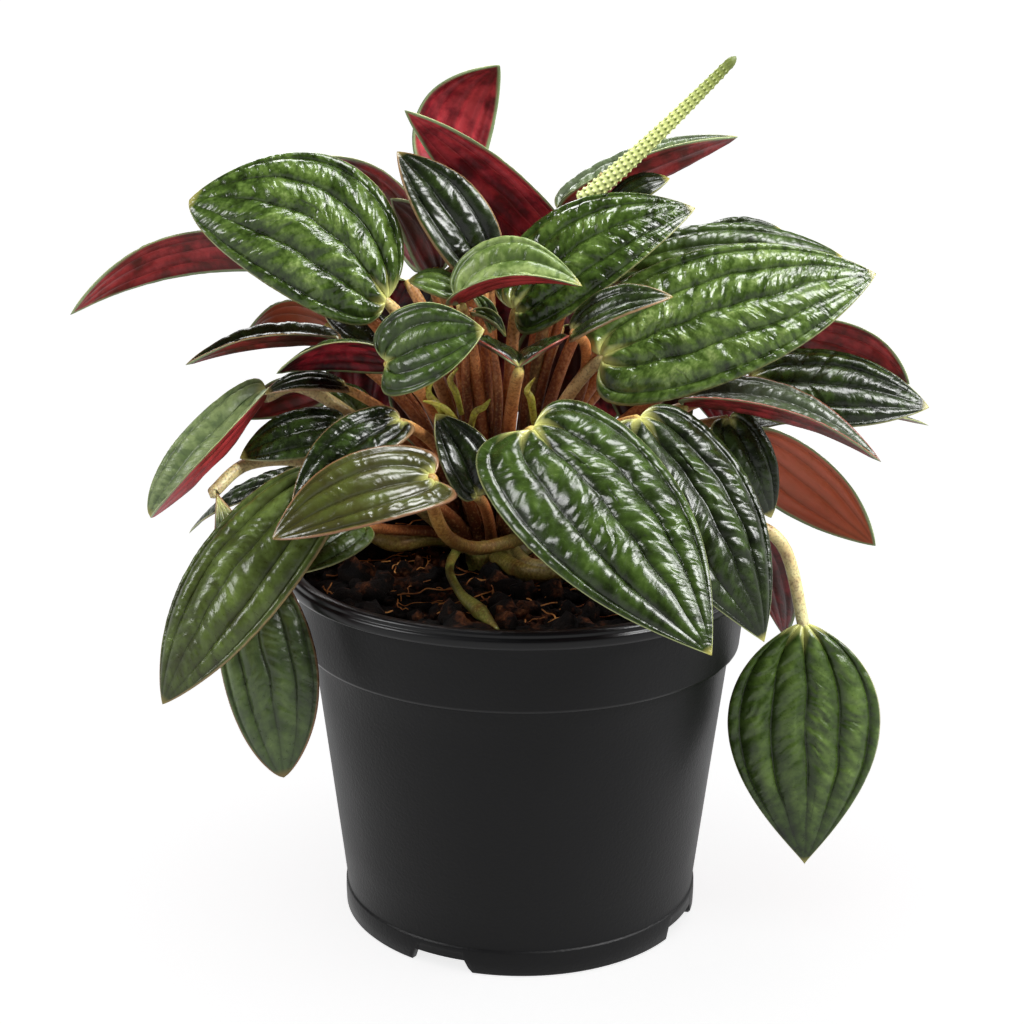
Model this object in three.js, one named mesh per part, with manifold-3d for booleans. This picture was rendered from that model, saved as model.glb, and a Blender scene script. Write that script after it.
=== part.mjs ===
// Potted peperomia: a ripple-leaved plant with red undersides in a 12 cm nursery pot.
// Millimetres, +Z up. The origin is on the pot's axis at the height of the surface it stands on;
// -Y is the front of the plant.

import * as THREE from 'three';
import { mergeVertices } from 'three/addons/utils/BufferGeometryUtils.js';
import Module from 'manifold-3d';

const wasm = await Module();
wasm.setup();

// ---------------------------------------------------------------- driving dimensions

const gap = 0.3; // clearance between pieces that touch

// pot
const lipRadius = 60; // outer edge of the rolled lip: a 12 cm pot
const lipTop = 94; // overall height of the pot
const lipHeight = 4.5;
const lipInnerRadius = 56.3;
const lipChamfer = 0.7;
const collarTopRadius = 57;
const collarBottomRadius = 55.5;
const collarBottom = 73;
const wallTopRadius = 53.3;
const wallBottomRadius = 45.4;
const footTop = 6.8;
const footRadius = 46;
const footWidth = 2.4;
const baseTop = 6.4; // upper side of the raised base
const baseThickness = 1.8;
const wallThickness = 1.6;
const potSides = 32;
const notchAngles = [-116, -26, 64, 154]; // drain notches round the foot ring, in degrees
const notchWidth = 16;
const notchHeight = 4;

// soil
const soilTop = 89;
const soilRelief = 1.1;
const soilSides = 28;
const soilRings = [0.92, 0.72, 0.5, 0.25, 0]; // rings of corners on its surface, as shares of the radius

// crown
const crownCentre = new THREE.Vector2(-6, 14);
const crownStemRadius = 5;
const crownStemRing = 9;
const crownStemCount = 6;
const crownStemFoot = 74; // the stems' lower end, in the soil
const crownStemTop = 98;
const crownStemClosing = 0.6; // the stems' feet stand closer together than their heads
const stalkRootHeight = 94;
const stalkRootSpread = [11, 5]; // roots of the lowest and of the highest leaves
const leafHeights = [100, 180];
const stalkLean = 0.25; // share of its way outward that a stalk has gone at its knee
const stalkKnee = 0.7; // share of its height at which the knee lies
const stalkRadius = 1.8;
const stalkSides = 5;
const stalkSteps = 4;

// leaf blades
const bladeThickness = 0.7;
const ridgeHeight = 0.8; // how far the blade swells between two veins
const rowCrowding = 1.25; // exponent that crowds the rows of corners towards the stalk
const lobeRise = 0.7; // exponents of the basal lobes' reach, behind and ahead of their ends
const lobeFall = 4;
const roomBehind = 1.5 * gap; // room left round a blade when its stalk is cut clear of it
const roomAcross = 4 * gap;
const roomThrough = 2.6 * gap;

// flower spike
const spikeBaseRadius = 2.4;
const spikeTipRadius = 1.0;
const spikeSides = 10;
const spikeRings = 24;
const spikeBump = 0.3;
const spikeBare = 0.9; // share of its length above which the spike has no bumps
const spikeTaper = 1.4; // exponent of its narrowing
const spikeTipStart = 0.985; // share of its length at which the last ring of corners lies

// What a leaf has unless its row says otherwise: how far the midrib bows out of the line from base
// to tip (arch: along the face, sway: sideways), the angles of its two halves (fold, curl and
// twist, in degrees), the reach of its basal lobes as a share of its length, and the exponents of
// its outline. A stalk that does not follow the common rule has its own points.
const leafDefaults = {
  arch: 3, sway: 0, twist: 0, fold: 0, curl: -20, lobe: 0.12, p: 0.6, q: 0.9, stalk: null,
};

function blade(name, base, tip, width, face, shape = {}) {
  return { name: `leaf_${name}`, base, tip, width, face, ...leafDefaults, ...shape };
}

// Each leaf: its name, where its stalk meets it, its tip, its width, the way its upper side faces,
// and what differs from the defaults.
const leaves = [
  blade('left_broad', [-33, -6, 160], [-81, 2, 183], 38, [-0.2, -0.8, 0.6], {
    arch: 6, sway: -7.5, fold: -2, lobe: 0.06, q: 0.75,
  }),
  blade('far_left', [-55, 8, 168], [-111, 0, 155], 22, [0, 0.6, 0.8], { arch: 10, lobe: 0.1 }),
  blade('left_behind', [-25, 21, 166], [-52, 25, 191], 22, [0.3, 0.6, 0.7], { arch: 6 }),
  blade('centre_upright', [-10, 4, 166], [-31, 10, 194], 19, [0.3, -0.8, 0.5], { fold: 10, curl: 0 }),
  blade('top_red', [8, 22.5, 168.5], [-29, 9, 204], 21, [0.3, 0.75, 0.55], { arch: 2, p: 0.5 }),
  blade('top_back', [-18, 26, 185], [-6, 22, 214], 21, [-0.2, 0.95, 0.2], { arch: 5, sway: -4 }),
  blade('centre_glossy', [-2, -2, 157], [42, 6, 181], 28, [-0.1, -0.7, 0.7], {
    arch: 5, sway: 4, curl: -15,
  }),
  blade('centre_pale', [-15, -10, 160], [14, -14, 165], 26, [0, -0.34, 0.94], {
    fold: 38, curl: 0, lobe: 0.18,
  }),
  blade('heart_small', [-32, -22, 148], [-9, -27, 157], 22, [0, -0.8, 0.6], {
    arch: 2, fold: 8, curl: 0, lobe: 0.2,
  }),
  blade('left_red', [-32, -10, 146], [-59, -16, 144], 22, [-0.1, 0.5, 0.85], { arch: 4 }),
  blade('left_long', [-46, 2, 147], [-83, -2, 143], 18, [0, 0, 1], { arch: 2, fold: 26, curl: 0 }),
  blade('left_sliver', [-50, 26, 148], [-71, 20, 146], 18, [0, 0.6, 0.8], { arch: 5 }),
  blade('left_inner', [-34, 17, 144], [-51, 19, 153], 13, [0, -0.7, 0.7]),
  blade('left_drooping', [-64, 6, 134], [-92.5, -6, 105], 26, [-0.6, -0.3, 0.6], {
    arch: 1, fold: 36, curl: 0, sway: 9, q: 0.65,
    stalk: [[-14, 10, 94], [-26, 6, 112], [-43, 4, 129], [-56, 6, 136]],
  }),
  blade('left_narrow', [-44, -2, 138], [-63, -8, 137], 12, [0, -0.2, 0.95]),
  blade('left_low', [-44, -6, 129], [-69, -12, 122], 16, [0, -0.6, 0.8]),
  blade('left_shaded', [-52, 15, 133], [-71, 16, 125], 14, [0, 0.8, 0.5]),
  blade('front_left_hanging', [-74.5, -17, 115.5], [-57, -41, 50.5], 25, [-0.2, -0.95, 0.2], {
    sway: 3.5, fold: -5, curl: -10, lobe: 0, p: 1.2, q: 0.75,
    stalk: [[-14, 9, 93], [-30, 0, 109], [-52, -4, 119], [-67, -9, 120]],
  }),
  blade('front_left_broad', [-47, -28, 122], [-84, -48, 72], 28, [-0.4, -0.8, 0.4], {
    arch: 8, fold: -5, lobe: 0.1, p: 0.75,
  }),
  blade('front_olive', [-21, -38, 124], [-57, -50, 113], 22, [0, -0.6, 0.8], {
    arch: 4, fold: 10, curl: 0, lobe: 0.2,
    stalk: [[0, 8, 96], [-5, -4, 98], [-12, -14, 100], [-18, -27, 107], [-21, -36, 117]],
  }),
  blade('front_dark', [-29, -22, 134], [-54, -36, 116], 16, [-0.2, -0.7, 0.7], {
    arch: 4, fold: 8, curl: 0,
  }),
  blade('front_young', [-11, -20, 115], [-21, -14, 134], 15, [0.4, -0.8, 0.3], {
    arch: 2, fold: 20, curl: 0, lobe: 0.1,
  }),
  blade('front_broad', [2, -38, 136], [41, -76, 95], 39, [0.1, -0.75, 0.6], {
    arch: 6, fold: -4, curl: -15, lobe: 0.16, q: 1,
  }),
  blade('front_right', [27, -27, 136], [56, -48, 88], 36, [0.4, -0.7, 0.5], {
    arch: 6, fold: -4, curl: -15, lobe: 0.1, q: 1,
  }),
  blade('right_broad', [19, -10, 147], [86, 0, 166], 36, [0.1, -0.75, 0.6], {
    arch: 5, sway: 1, curl: -15, lobe: 0.14,
  }),
  blade('right_small', [12, -15, 154], [35, -22, 164], 13, [0, -0.5, 0.8], {
    fold: 10, curl: 0,
    stalk: [[3, 6, 96], [10, 2, 122], [15, -3, 140], [15, -10, 150]],
  }),
  blade('centre_cupped', [-1, -22, 147], [-1, -3, 147], 28, [0, 0.03, 1], {
    arch: -1, fold: 36, curl: -10, lobe: 0.25,
  }),
  blade('by_spike', [12, 32, 174.5], [55, 34, 195.5], 29, [-0.1, 0, 1], {
    arch: -1, fold: 38, curl: 0,
  }),
  blade('back_tip', [23, 22, 180], [37, 24, 186], 10, [0, -0.5, 0.8], { arch: 2 }),
  blade('right_back_short', [43, 28, 166], [67, 30, 172], 16, [0, -0.5, 0.8]),
  blade('right_back_long', [24, 16, 165], [81, 20, 167], 18, [0, -0.6, 0.8], { arch: 6 }),
  blade('right_red', [70, 19, 147], [99, 16, 135], 22, [0.2, 0.7, 0.6]),
  blade('right_dark', [58, 10, 136.5], [102, 5, 131.5], 24, [0, -0.7, 0.7], { arch: 4 }),
  blade('right_torn', [39, -11, 135.5], [87, -15, 122.5], 24, [0, -0.1, 1], { arch: 3, fold: 30, curl: 0 }),
  blade('right_rust', [57, 4, 123], [90, 2, 96], 23, [0.4, 0.8, 0.3], { arch: 4, sway: 2 }),
  blade('right_shaded', [50, -10, 132], [61, -14, 108], 16, [0.4, -0.8, 0.3], { arch: 2 }),
  blade('right_hanging', [70, -14, 81], [72, -22, 19], 39, [0, -0.95, 0.2], {
    arch: 4, fold: -6, curl: -10, lobe: 0, p: 0.75, q: 1.1,
    stalk: [[-4, 8, 94], [4, -10, 94], [25, -15, 98], [50, -12, 106], [64, -12, 101]],
  }),
  blade('inner_maroon', [-21, 8, 165], [-33, 14, 182], 16, [0.3, 0.7, 0.5]),
  blade('inner_striped', [-16, -3, 162], [-28, -1, 164], 9, [0, -0.6, 0.8], { arch: 2 }),
  blade('inner_green', [-40, 10.5, 126], [-49, 12.5, 135], 11, [0, -0.7, 0.7], { arch: 2 }),
  blade('inner_right', [24, -13, 127], [40, -18, 124], 11, [0, -0.6, 0.8], { arch: 2 }),
  blade('rim_pale', [-39, -18, 107], [-53, -32, 99], 13, [0, -0.5, 0.8], {
    arch: 2,
    stalk: [[-13, 10, 94], [-22, 6, 98], [-32, -2, 101]],
  }),
  blade('rear_upper_1', [52, 26, 120], [110, 41, 118], 27, [0.5, 0.33, 1], { arch: 5, curl: -15 }),
  blade('rear_upper_2', [36, 26, 150], [58, 52, 110], 28, [0.6, 0.7, 0.7], { arch: 5, curl: -15 }),
  blade('rear_upper_3', [15, 37, 160], [25, 67, 112], 34, [0.3, 0.8, 0.5], { arch: 5, curl: -15 }),
  blade('rear_upper_4', [-9, 31, 162], [-10, 59, 108], 32, [0, 0.9, 0.45], { arch: 5, curl: -15 }),
  blade('rear_upper_5', [-30, 34, 158], [-44, 62, 106], 34, [-0.35, 0.8, 0.5], { arch: 5, curl: -15 }),
  blade('rear_upper_6', [-42, 26, 120], [-76, 46, 104], 30, [-0.82, 0.57, 1], { arch: 5, curl: -15 }),
  blade('rear_upper_7', [-50, 10, 112], [-87, 17, 94], 26, [-0.98, 0.17, 1], { arch: 5, curl: -15 }),
  blade('rear_lower_1', [49, 28, 106], [74, 44, 56], 30, [0.83, 0.56, 1], { arch: 5, curl: -15 }),
  blade('rear_lower_2', [30, 42, 107], [48, 65, 56], 30, [0.55, 0.83, 1], { arch: 5, curl: -15 }),
  blade('rear_lower_3', [8, 51, 116], [12, 76, 64], 31, [0.17, 1, 1], { arch: 5, curl: -8, lobe: 0.04 }),
  blade('rear_lower_4', [-15, 50, 113], [-21, 74, 61], 30, [-0.25, 1, 1], { arch: 5, curl: -15 }),
  blade('rear_lower_5', [-39, 42, 106], [-56, 63, 55], 30, [-0.65, 0.76, 1], { arch: 5, curl: -15 }),
];

// the flower spike's own stalk and the spike
const spikeStalk = [[0, 16, 92], [3, 18, 135], [10, 14, 168], [19, 13, 186]];
const spikeLine = [[19.5, 13, 187.3], [34, 11, 197], [51, 9, 217]];
const spikeStalkRadius = 1.4;

// one young folded bud that lies on the soil
const budLine = [[-12, 8, 95], [-18, -10, 93.5], [-15, -26, 92.5], [-10, -40, 92.5], [-7, -49, 92]];
const budRadius = 1.7;

// ---------------------------------------------------------------- small helpers

const degrees = THREE.MathUtils.degToRad;
const vector = (list) => new THREE.Vector3(...list);

// A closed mesh with only its corner points, ready to become a solid.
function bare(geometry) {
  const copy = geometry.clone();
  copy.deleteAttribute('normal');
  copy.deleteAttribute('uv');
  return mergeVertices(copy, 1e-4);
}

function solid(geometry) {
  const merged = bare(geometry);
  return new wasm.Manifold(new wasm.Mesh({
    numProp: 3,
    vertProperties: Float32Array.from(merged.attributes.position.array),
    triVerts: Uint32Array.from(merged.index.array),
  }));
}

function geometryOf(manifold) {
  const mesh = manifold.getMesh();
  const geometry = new THREE.BufferGeometry();
  geometry.setAttribute('position', new THREE.BufferAttribute(mesh.vertProperties, 3));
  geometry.setIndex(new THREE.BufferAttribute(mesh.triVerts, 1));
  return geometry;
}

// The largest body of a solid, without the loose scraps that a cut leaves.
function largest(manifold) {
  const bodies = manifold.decompose();
  return bodies.reduce((best, body) => (body.volume() > best.volume() ? body : best));
}

function indexed(points, triangles) {
  const geometry = new THREE.BufferGeometry();
  geometry.setAttribute('position', new THREE.Float32BufferAttribute(points.flat(), 3));
  geometry.setIndex(triangles.flat());
  return geometry;
}

function finish(color, roughness) {
  return new THREE.MeshStandardMaterial({ color, roughness, metalness: 0 });
}

function disc(radius, sides) {
  const outline = [];
  for (let i = 0; i < sides; i++) {
    const angle = (2 * Math.PI * i) / sides;
    outline.push(new THREE.Vector2(radius * Math.cos(angle), radius * Math.sin(angle)));
  }
  return new THREE.Shape(outline);
}

// A round stem along a curve.
function tube(curve, radius, sides, steps) {
  const options = { steps, bevelEnabled: false, extrudePath: curve };
  return new THREE.ExtrudeGeometry(disc(radius, sides), options);
}

// ---------------------------------------------------------------- pot

function potGeometry() {
  const wallInner = wallTopRadius - wallThickness;
  const baseInner = wallBottomRadius - wallThickness;
  const outline = [
    [0, baseTop - baseThickness],
    [footRadius - footWidth, baseTop - baseThickness],
    [footRadius - footWidth, 0],
    [footRadius, 0],
    [footRadius, footTop],
    [wallBottomRadius, footTop],
    [wallTopRadius, collarBottom],
    [collarBottomRadius, collarBottom],
    [collarTopRadius, lipTop - lipHeight],
    [lipRadius, lipTop - lipHeight + lipChamfer],
    [lipRadius, lipTop - 2 * lipChamfer],
    [lipRadius - 2 * lipChamfer, lipTop],
    [lipInnerRadius + lipChamfer, lipTop],
    [lipInnerRadius, lipTop - lipChamfer],
    [collarBottomRadius - wallThickness, collarBottom + wallThickness],
    [wallInner, collarBottom + wallThickness],
    [baseInner, baseTop],
    [0, baseTop],
  ];
  const profile = outline.map(([radius, height]) => new THREE.Vector2(radius, height));
  const lathe = new THREE.LatheGeometry(profile, potSides);
  lathe.rotateX(Math.PI / 2);
  let pot = solid(lathe);
  for (const angle of notchAngles) {
    const notch = new THREE.BoxGeometry(3 * footWidth, notchWidth, notchHeight);
    notch.translate(footRadius - footWidth / 2, 0, notchHeight / 2 - 0.01);
    notch.rotateZ(degrees(angle));
    pot = pot.subtract(solid(notch));
  }
  return geometryOf(pot);
}

// ---------------------------------------------------------------- soil

// Height of the soil's crumbly surface over the plane, in a gentle formula.
function soilHeight(x, y) {
  const coarse = Math.sin(0.19 * x + 1.3) * Math.cos(0.23 * y - 0.4);
  const fine = Math.sin(0.61 * x + 0.35 * y) * Math.cos(0.53 * y - 0.27 * x);
  return soilTop + soilRelief * (0.65 * coarse + 0.35 * fine);
}

// The soil fills the pot; stems are the solids that stand in holes in it.
function soilGeometry(stems) {
  const wallInner = wallTopRadius - wallThickness - gap;
  const baseInner = wallBottomRadius - wallThickness - gap;
  const collarInner = collarBottomRadius - wallThickness;
  const ledge = collarBottom + wallThickness;
  const shoulder = soilTop - 2 * soilRelief;
  const rise = (shoulder - ledge) / (lipTop - lipChamfer - ledge);
  const rimRadius = THREE.MathUtils.lerp(collarInner, lipInnerRadius, rise) - 2 * gap;
  const profile = [
    [0, baseTop + gap],
    [baseInner, baseTop + gap],
    [wallInner, ledge + gap],
    [collarInner - 2 * gap, ledge + gap],
    [rimRadius, shoulder],
  ];
  for (const share of soilRings) {
    profile.push([rimRadius * share, soilTop]);
  }
  const points = profile.map(([radius, height]) => new THREE.Vector2(radius, height));
  const lathe = new THREE.LatheGeometry(points, soilSides);
  lathe.rotateX(Math.PI / 2);
  const place = lathe.attributes.position;
  for (let i = 0; i < place.count; i++) {
    if (place.getZ(i) > soilTop - 0.01) {
      place.setZ(i, soilHeight(place.getX(i), place.getY(i)));
    }
  }
  return geometryOf(stems.reduce((body, stem) => body.subtract(stem), solid(lathe)));
}

// ---------------------------------------------------------------- leaf blades

// Half width along the blade, 0 at both ends and 1 at its widest.
function breadth(t, p, q) {
  const widest = p / (p + q);
  return (t ** p * (1 - t) ** q) / (widest ** p * (1 - widest) ** q);
}

// How strongly the basal lobes reach back behind the stalk, 0 at the stalk and 1 at their ends.
function lobeReach(t) {
  const peak = lobeRise / (lobeRise + lobeFall);
  return (t ** lobeRise * (1 - t) ** lobeFall) / (peak ** lobeRise * (1 - peak) ** lobeFall);
}

// Veins run from the stalk to the tip at these shares of the half width; between two of them the
// blade swells into a ridge, so its shares across are vein, ridge, vein, ridge ... margin.
const grades = {
  broad: { across: [[0, 0], [0.18, 1], [0.36, 0], [0.53, 1], [0.7, 0], [1, 0.3]], rows: 7 },
  middle: { across: [[0, 0], [0.25, 1], [0.5, 0], [0.75, 1], [1, 0]], rows: 6 },
  small: { across: [[0, 0], [0.5, 1], [1, 0]], rows: 5 },
};

function gradeOf(width) {
  if (width >= 32) return grades.broad;
  return width >= 20 ? grades.middle : grades.small;
}

// The blade's own axes: along from base to tip, up out of its upper side, side to its left.
function bladeAxes(leaf) {
  const base = vector(leaf.base);
  const along = vector(leaf.tip).sub(base);
  const length = along.length();
  along.normalize();
  const up = vector(leaf.face);
  up.addScaledVector(along, -up.dot(along)).normalize();
  const side = up.clone().cross(along);
  return { base, along, up, side, length };
}

// A point of the blade's middle surface: t runs from the stalk to the tip, v across it.
function bladePoint(leaf, axes, t, v, ridge) {
  const wide = breadth(t, leaf.p, leaf.q);
  const reach = (Math.abs(v) * wide * leaf.width) / 2;
  const angle = degrees(leaf.fold) + (degrees(leaf.curl) * Math.abs(v) * wide) / 2;
  const flatSide = Math.sign(v) * reach * Math.cos(angle);
  const rise = reach * Math.sin(angle) + ridge * ridgeHeight * Math.min(1, 3 * wide * (1 - t));
  const turn = degrees(leaf.twist) * t;
  const share = t - leaf.lobe * v * v * lobeReach(t);
  const sideways = flatSide * Math.cos(turn) - rise * Math.sin(turn) + leaf.sway * 4 * t * (1 - t);
  const upward = flatSide * Math.sin(turn) + rise * Math.cos(turn) + leaf.arch * 4 * share * (1 - share);
  return axes.base.clone()
    .addScaledVector(axes.along, share * axes.length)
    .addScaledVector(axes.side, sideways)
    .addScaledVector(axes.up, upward);
}

// The blade as a closed solid: the same triangles on its upper and lower side, and a thin rim.
function bladeGeometry(leaf, thickness) {
  const axes = bladeAxes(leaf);
  const { across, rows } = gradeOf(leaf.width);
  const left = across.slice(1).reverse().map(([v, ridge]) => [-v, ridge]);
  const columns = [...left, ...across];
  const count = columns.length;
  const middle = [bladePoint(leaf, axes, 0, 0, 0)];
  for (let i = 1; i < rows; i++) {
    const t = (i / rows) ** rowCrowding;
    columns.forEach(([v, ridge]) => middle.push(bladePoint(leaf, axes, t, v, ridge)));
  }
  middle.push(bladePoint(leaf, axes, 1, 0, 0));
  const last = middle.length - 1;
  const at = (row, column) => 1 + (row - 1) * count + column;

  const upper = [];
  for (let j = 0; j < count - 1; j++) {
    upper.push([0, at(1, j), at(1, j + 1)]);
    for (let i = 1; i < rows - 1; i++) {
      upper.push([at(i, j), at(i + 1, j), at(i + 1, j + 1)], [at(i, j), at(i + 1, j + 1), at(i, j + 1)]);
    }
    upper.push([at(rows - 1, j), last, at(rows - 1, j + 1)]);
  }

  const normals = middle.map(() => new THREE.Vector3());
  for (const [a, b, c] of upper) {
    const edge = middle[b].clone().sub(middle[a]);
    const normal = edge.cross(middle[c].clone().sub(middle[a]));
    [a, b, c].forEach((corner) => normals[corner].add(normal));
  }
  const offset = (sign) => middle.map((point, i) => {
    const normal = normals[i].clone().normalize();
    return point.clone().addScaledVector(normal, (sign * thickness) / 2).toArray();
  });
  const points = [...offset(1), ...offset(-1)];
  const under = middle.length;
  const triangles = [...upper];
  upper.forEach(([a, b, c]) => triangles.push([under + a, under + c, under + b]));

  const edgeLine = (column) => {
    const line = [0];
    for (let i = 1; i < rows; i++) line.push(at(i, column));
    return [...line, last];
  };
  const wall = (line) => {
    for (let i = 0; i < line.length - 1; i++) {
      const [a, b] = [line[i], line[i + 1]];
      triangles.push([b, a, under + a], [b, under + a, under + b]);
    }
  };
  wall(edgeLine(0));
  wall(edgeLine(count - 1).reverse());
  return indexed(points, triangles);
}

// A blade with room round it on every side, to cut its stalk clear of it.
function roomRound(leaf) {
  const back = bladeAxes(leaf).along.multiplyScalar(-roomBehind);
  const base = vector(leaf.base).add(back).toArray();
  return bladeGeometry({ ...leaf, base, width: leaf.width + roomAcross }, bladeThickness + roomThrough);
}

// ---------------------------------------------------------------- crown

// The stalk leaves the crown upward and then leans out to its leaf.
function stalkCurve(leaf) {
  const base = vector(leaf.base);
  const end = base.clone().addScaledVector(bladeAxes(leaf).up, -(bladeThickness / 2 + gap));
  if (leaf.stalk) {
    return new THREE.CatmullRomCurve3([...leaf.stalk.map(vector), end]);
  }
  const outward = new THREE.Vector2(base.x, base.y).sub(crownCentre);
  const spread = THREE.MathUtils.mapLinear(base.z, ...leafHeights, ...stalkRootSpread);
  const foot = crownCentre.clone().addScaledVector(outward.clone().normalize(), spread);
  const lean = foot.clone().lerp(new THREE.Vector2(base.x, base.y), stalkLean);
  const knee = stalkRootHeight + stalkKnee * (base.z - stalkRootHeight);
  return new THREE.QuadraticBezierCurve3(
    new THREE.Vector3(foot.x, foot.y, stalkRootHeight),
    new THREE.Vector3(lean.x, lean.y, knee),
    end,
  );
}

// The short thick stems that stand in the soil; grow widens them into the holes they stand in.
function crownStems(grow) {
  const stems = [];
  for (let i = 0; i <= crownStemCount; i++) {
    const angle = (2 * Math.PI * i) / crownStemCount;
    const ring = i < crownStemCount ? crownStemRing : 0;
    const foot = new THREE.Vector3(
      crownCentre.x + crownStemClosing * ring * Math.cos(angle),
      crownCentre.y + crownStemClosing * ring * Math.sin(angle),
      crownStemFoot - grow,
    );
    const head = new THREE.Vector3(
      crownCentre.x + ring * Math.cos(angle),
      crownCentre.y + ring * Math.sin(angle),
      crownStemTop,
    );
    stems.push(solid(tube(new THREE.LineCurve3(foot, head), crownStemRadius + grow, 8, 1)));
  }
  return stems;
}

function crownGeometry() {
  let crown = crownStems(0).reduce((all, stem) => all.add(stem));
  for (const leaf of leaves) {
    const steps = leaf.stalk ? 2 * stalkSteps : stalkSteps;
    let stalk = solid(tube(stalkCurve(leaf), stalkRadius, stalkSides, steps));
    stalk = largest(stalk.subtract(solid(roomRound(leaf))));
    crown = crown.add(stalk);
  }
  const spikeCurve = new THREE.CatmullRomCurve3(spikeStalk.map(vector));
  crown = crown.add(solid(tube(spikeCurve, spikeStalkRadius, stalkSides, 2 * stalkSteps)));
  const budCurve = new THREE.CatmullRomCurve3(budLine.map(vector));
  crown = crown.add(solid(tube(budCurve, budRadius, stalkSides, 10)));
  return geometryOf(largest(crown));
}

// ---------------------------------------------------------------- flower spike

// Rings along the spike, with small bumps in rows and a rounded tip.
function spikeGeometry() {
  const curve = new THREE.QuadraticBezierCurve3(...spikeLine.map(vector));
  const frames = curve.computeFrenetFrames(spikeRings, false);
  const start = curve.getPointAt(0);
  const end = curve.getPointAt(1);
  const points = [start.toArray()];
  for (let i = 0; i <= spikeRings; i++) {
    const share = i / spikeRings;
    const centre = curve.getPointAt(share * spikeTipStart);
    const taper = THREE.MathUtils.lerp(spikeBaseRadius, spikeTipRadius, share ** spikeTaper);
    const round = Math.min(1, Math.sqrt((1 - share) * 6 + 0.2));
    for (let j = 0; j < spikeSides; j++) {
      const angle = (2 * Math.PI * j) / spikeSides;
      const bump = (i + j) % 2 === 0 && i > 0 && share < spikeBare ? spikeBump : 0;
      const radius = taper * round + bump;
      const point = centre.clone()
        .addScaledVector(frames.normals[i], radius * Math.cos(angle))
        .addScaledVector(frames.binormals[i], radius * Math.sin(angle));
      points.push(point.toArray());
    }
  }
  points.push(end.toArray());
  const tip = points.length - 1;
  const at = (ring, side) => 1 + ring * spikeSides + (side % spikeSides);
  const triangles = [];
  for (let j = 0; j < spikeSides; j++) {
    triangles.push([0, at(0, j + 1), at(0, j)]);
    for (let i = 0; i < spikeRings; i++) {
      triangles.push([at(i, j), at(i, j + 1), at(i + 1, j + 1)]);
      triangles.push([at(i, j), at(i + 1, j + 1), at(i + 1, j)]);
    }
    triangles.push([at(spikeRings, j), at(spikeRings, j + 1), tip]);
  }
  return indexed(points, triangles);
}

// ---------------------------------------------------------------- the plant in its pot

const plant = new THREE.Group();

function addPiece(name, geometry, material) {
  const mesh = new THREE.Mesh(geometry, material);
  mesh.name = name;
  plant.add(mesh);
}

const blackPlastic = finish('#26272a', 0.5);
const peat = finish('#2a1c14', 0.95);
const stalkSkin = finish('#9a5c44', 0.5);
const leafSkin = finish('#3f6b3a', 0.35);
const spikeSkin = finish('#a9bb4e', 0.55);

addPiece('pot', potGeometry(), blackPlastic);
addPiece('soil', soilGeometry(crownStems(gap)), peat);
addPiece('crown', crownGeometry(), stalkSkin);
addPiece('flower_spike', spikeGeometry(), spikeSkin);
for (const leaf of leaves) {
  addPiece(leaf.name, bladeGeometry(leaf, bladeThickness), leafSkin);
}

export default plant;
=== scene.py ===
# %% [markdown]
# # A ripple-leaved peperomia in its nursery pot
#
# The plant is a low rosette: thick puckered leaves on fleshy stalks that all rise from one short
# crown, with a slim upright flower spike and a plain black pot. The looks are built here round a
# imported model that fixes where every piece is, so the first step is to load that frame. Sizes are
# written in millimetres and turned to metres only when a mesh is made.

# %% Frame and units
import math

import bpy
import numpy as np
from mathutils import Matrix, Vector, noise


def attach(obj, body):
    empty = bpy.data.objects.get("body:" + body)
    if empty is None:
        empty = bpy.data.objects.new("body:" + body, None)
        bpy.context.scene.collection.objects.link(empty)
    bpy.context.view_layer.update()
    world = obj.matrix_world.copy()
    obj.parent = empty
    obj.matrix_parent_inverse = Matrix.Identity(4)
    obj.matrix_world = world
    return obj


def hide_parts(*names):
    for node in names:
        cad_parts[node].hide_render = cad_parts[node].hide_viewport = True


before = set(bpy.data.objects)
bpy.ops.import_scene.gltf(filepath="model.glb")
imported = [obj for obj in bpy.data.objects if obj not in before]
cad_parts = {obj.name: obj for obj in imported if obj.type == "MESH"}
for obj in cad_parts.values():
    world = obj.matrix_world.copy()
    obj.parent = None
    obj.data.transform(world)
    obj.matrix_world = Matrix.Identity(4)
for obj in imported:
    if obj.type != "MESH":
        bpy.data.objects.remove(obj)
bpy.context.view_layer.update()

MM = 0.001

# %% [markdown]
# ## The camera
#
# The picture was taken a little from above with a fairly long lens. The lens and the place come
# from the pot, whose rim and foot are circles of known size, so the same view falls out of one
# focal length, one distance, one height and one downward tilt.

# %% Camera
PICTURE_SIDE = 1024  # pixels
FOCAL_LENGTH = 2000  # pixels
SENSOR = 36.0  # mm
CAMERA_PLACE = (-2.5, -484.0, 246.0)  # mm
CAMERA_TILT = 16.22  # degrees below the horizon
CAMERA_ROLL = 0.23  # degrees

camera_data = bpy.data.cameras.new("camera")
camera_data.sensor_width = SENSOR
camera_data.lens = SENSOR * FOCAL_LENGTH / PICTURE_SIDE
camera = bpy.data.objects.new("camera", camera_data)
tilt = Matrix.Rotation(math.radians(90 - CAMERA_TILT), 4, "X")
roll = Matrix.Rotation(math.radians(CAMERA_ROLL), 4, "Z")
camera.matrix_world = Matrix.Translation(Vector(CAMERA_PLACE) * MM) @ tilt @ roll
bpy.context.scene.collection.objects.link(camera)
bpy.context.scene.camera = camera
print("lens in mm:", round(camera_data.lens, 1))
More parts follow.
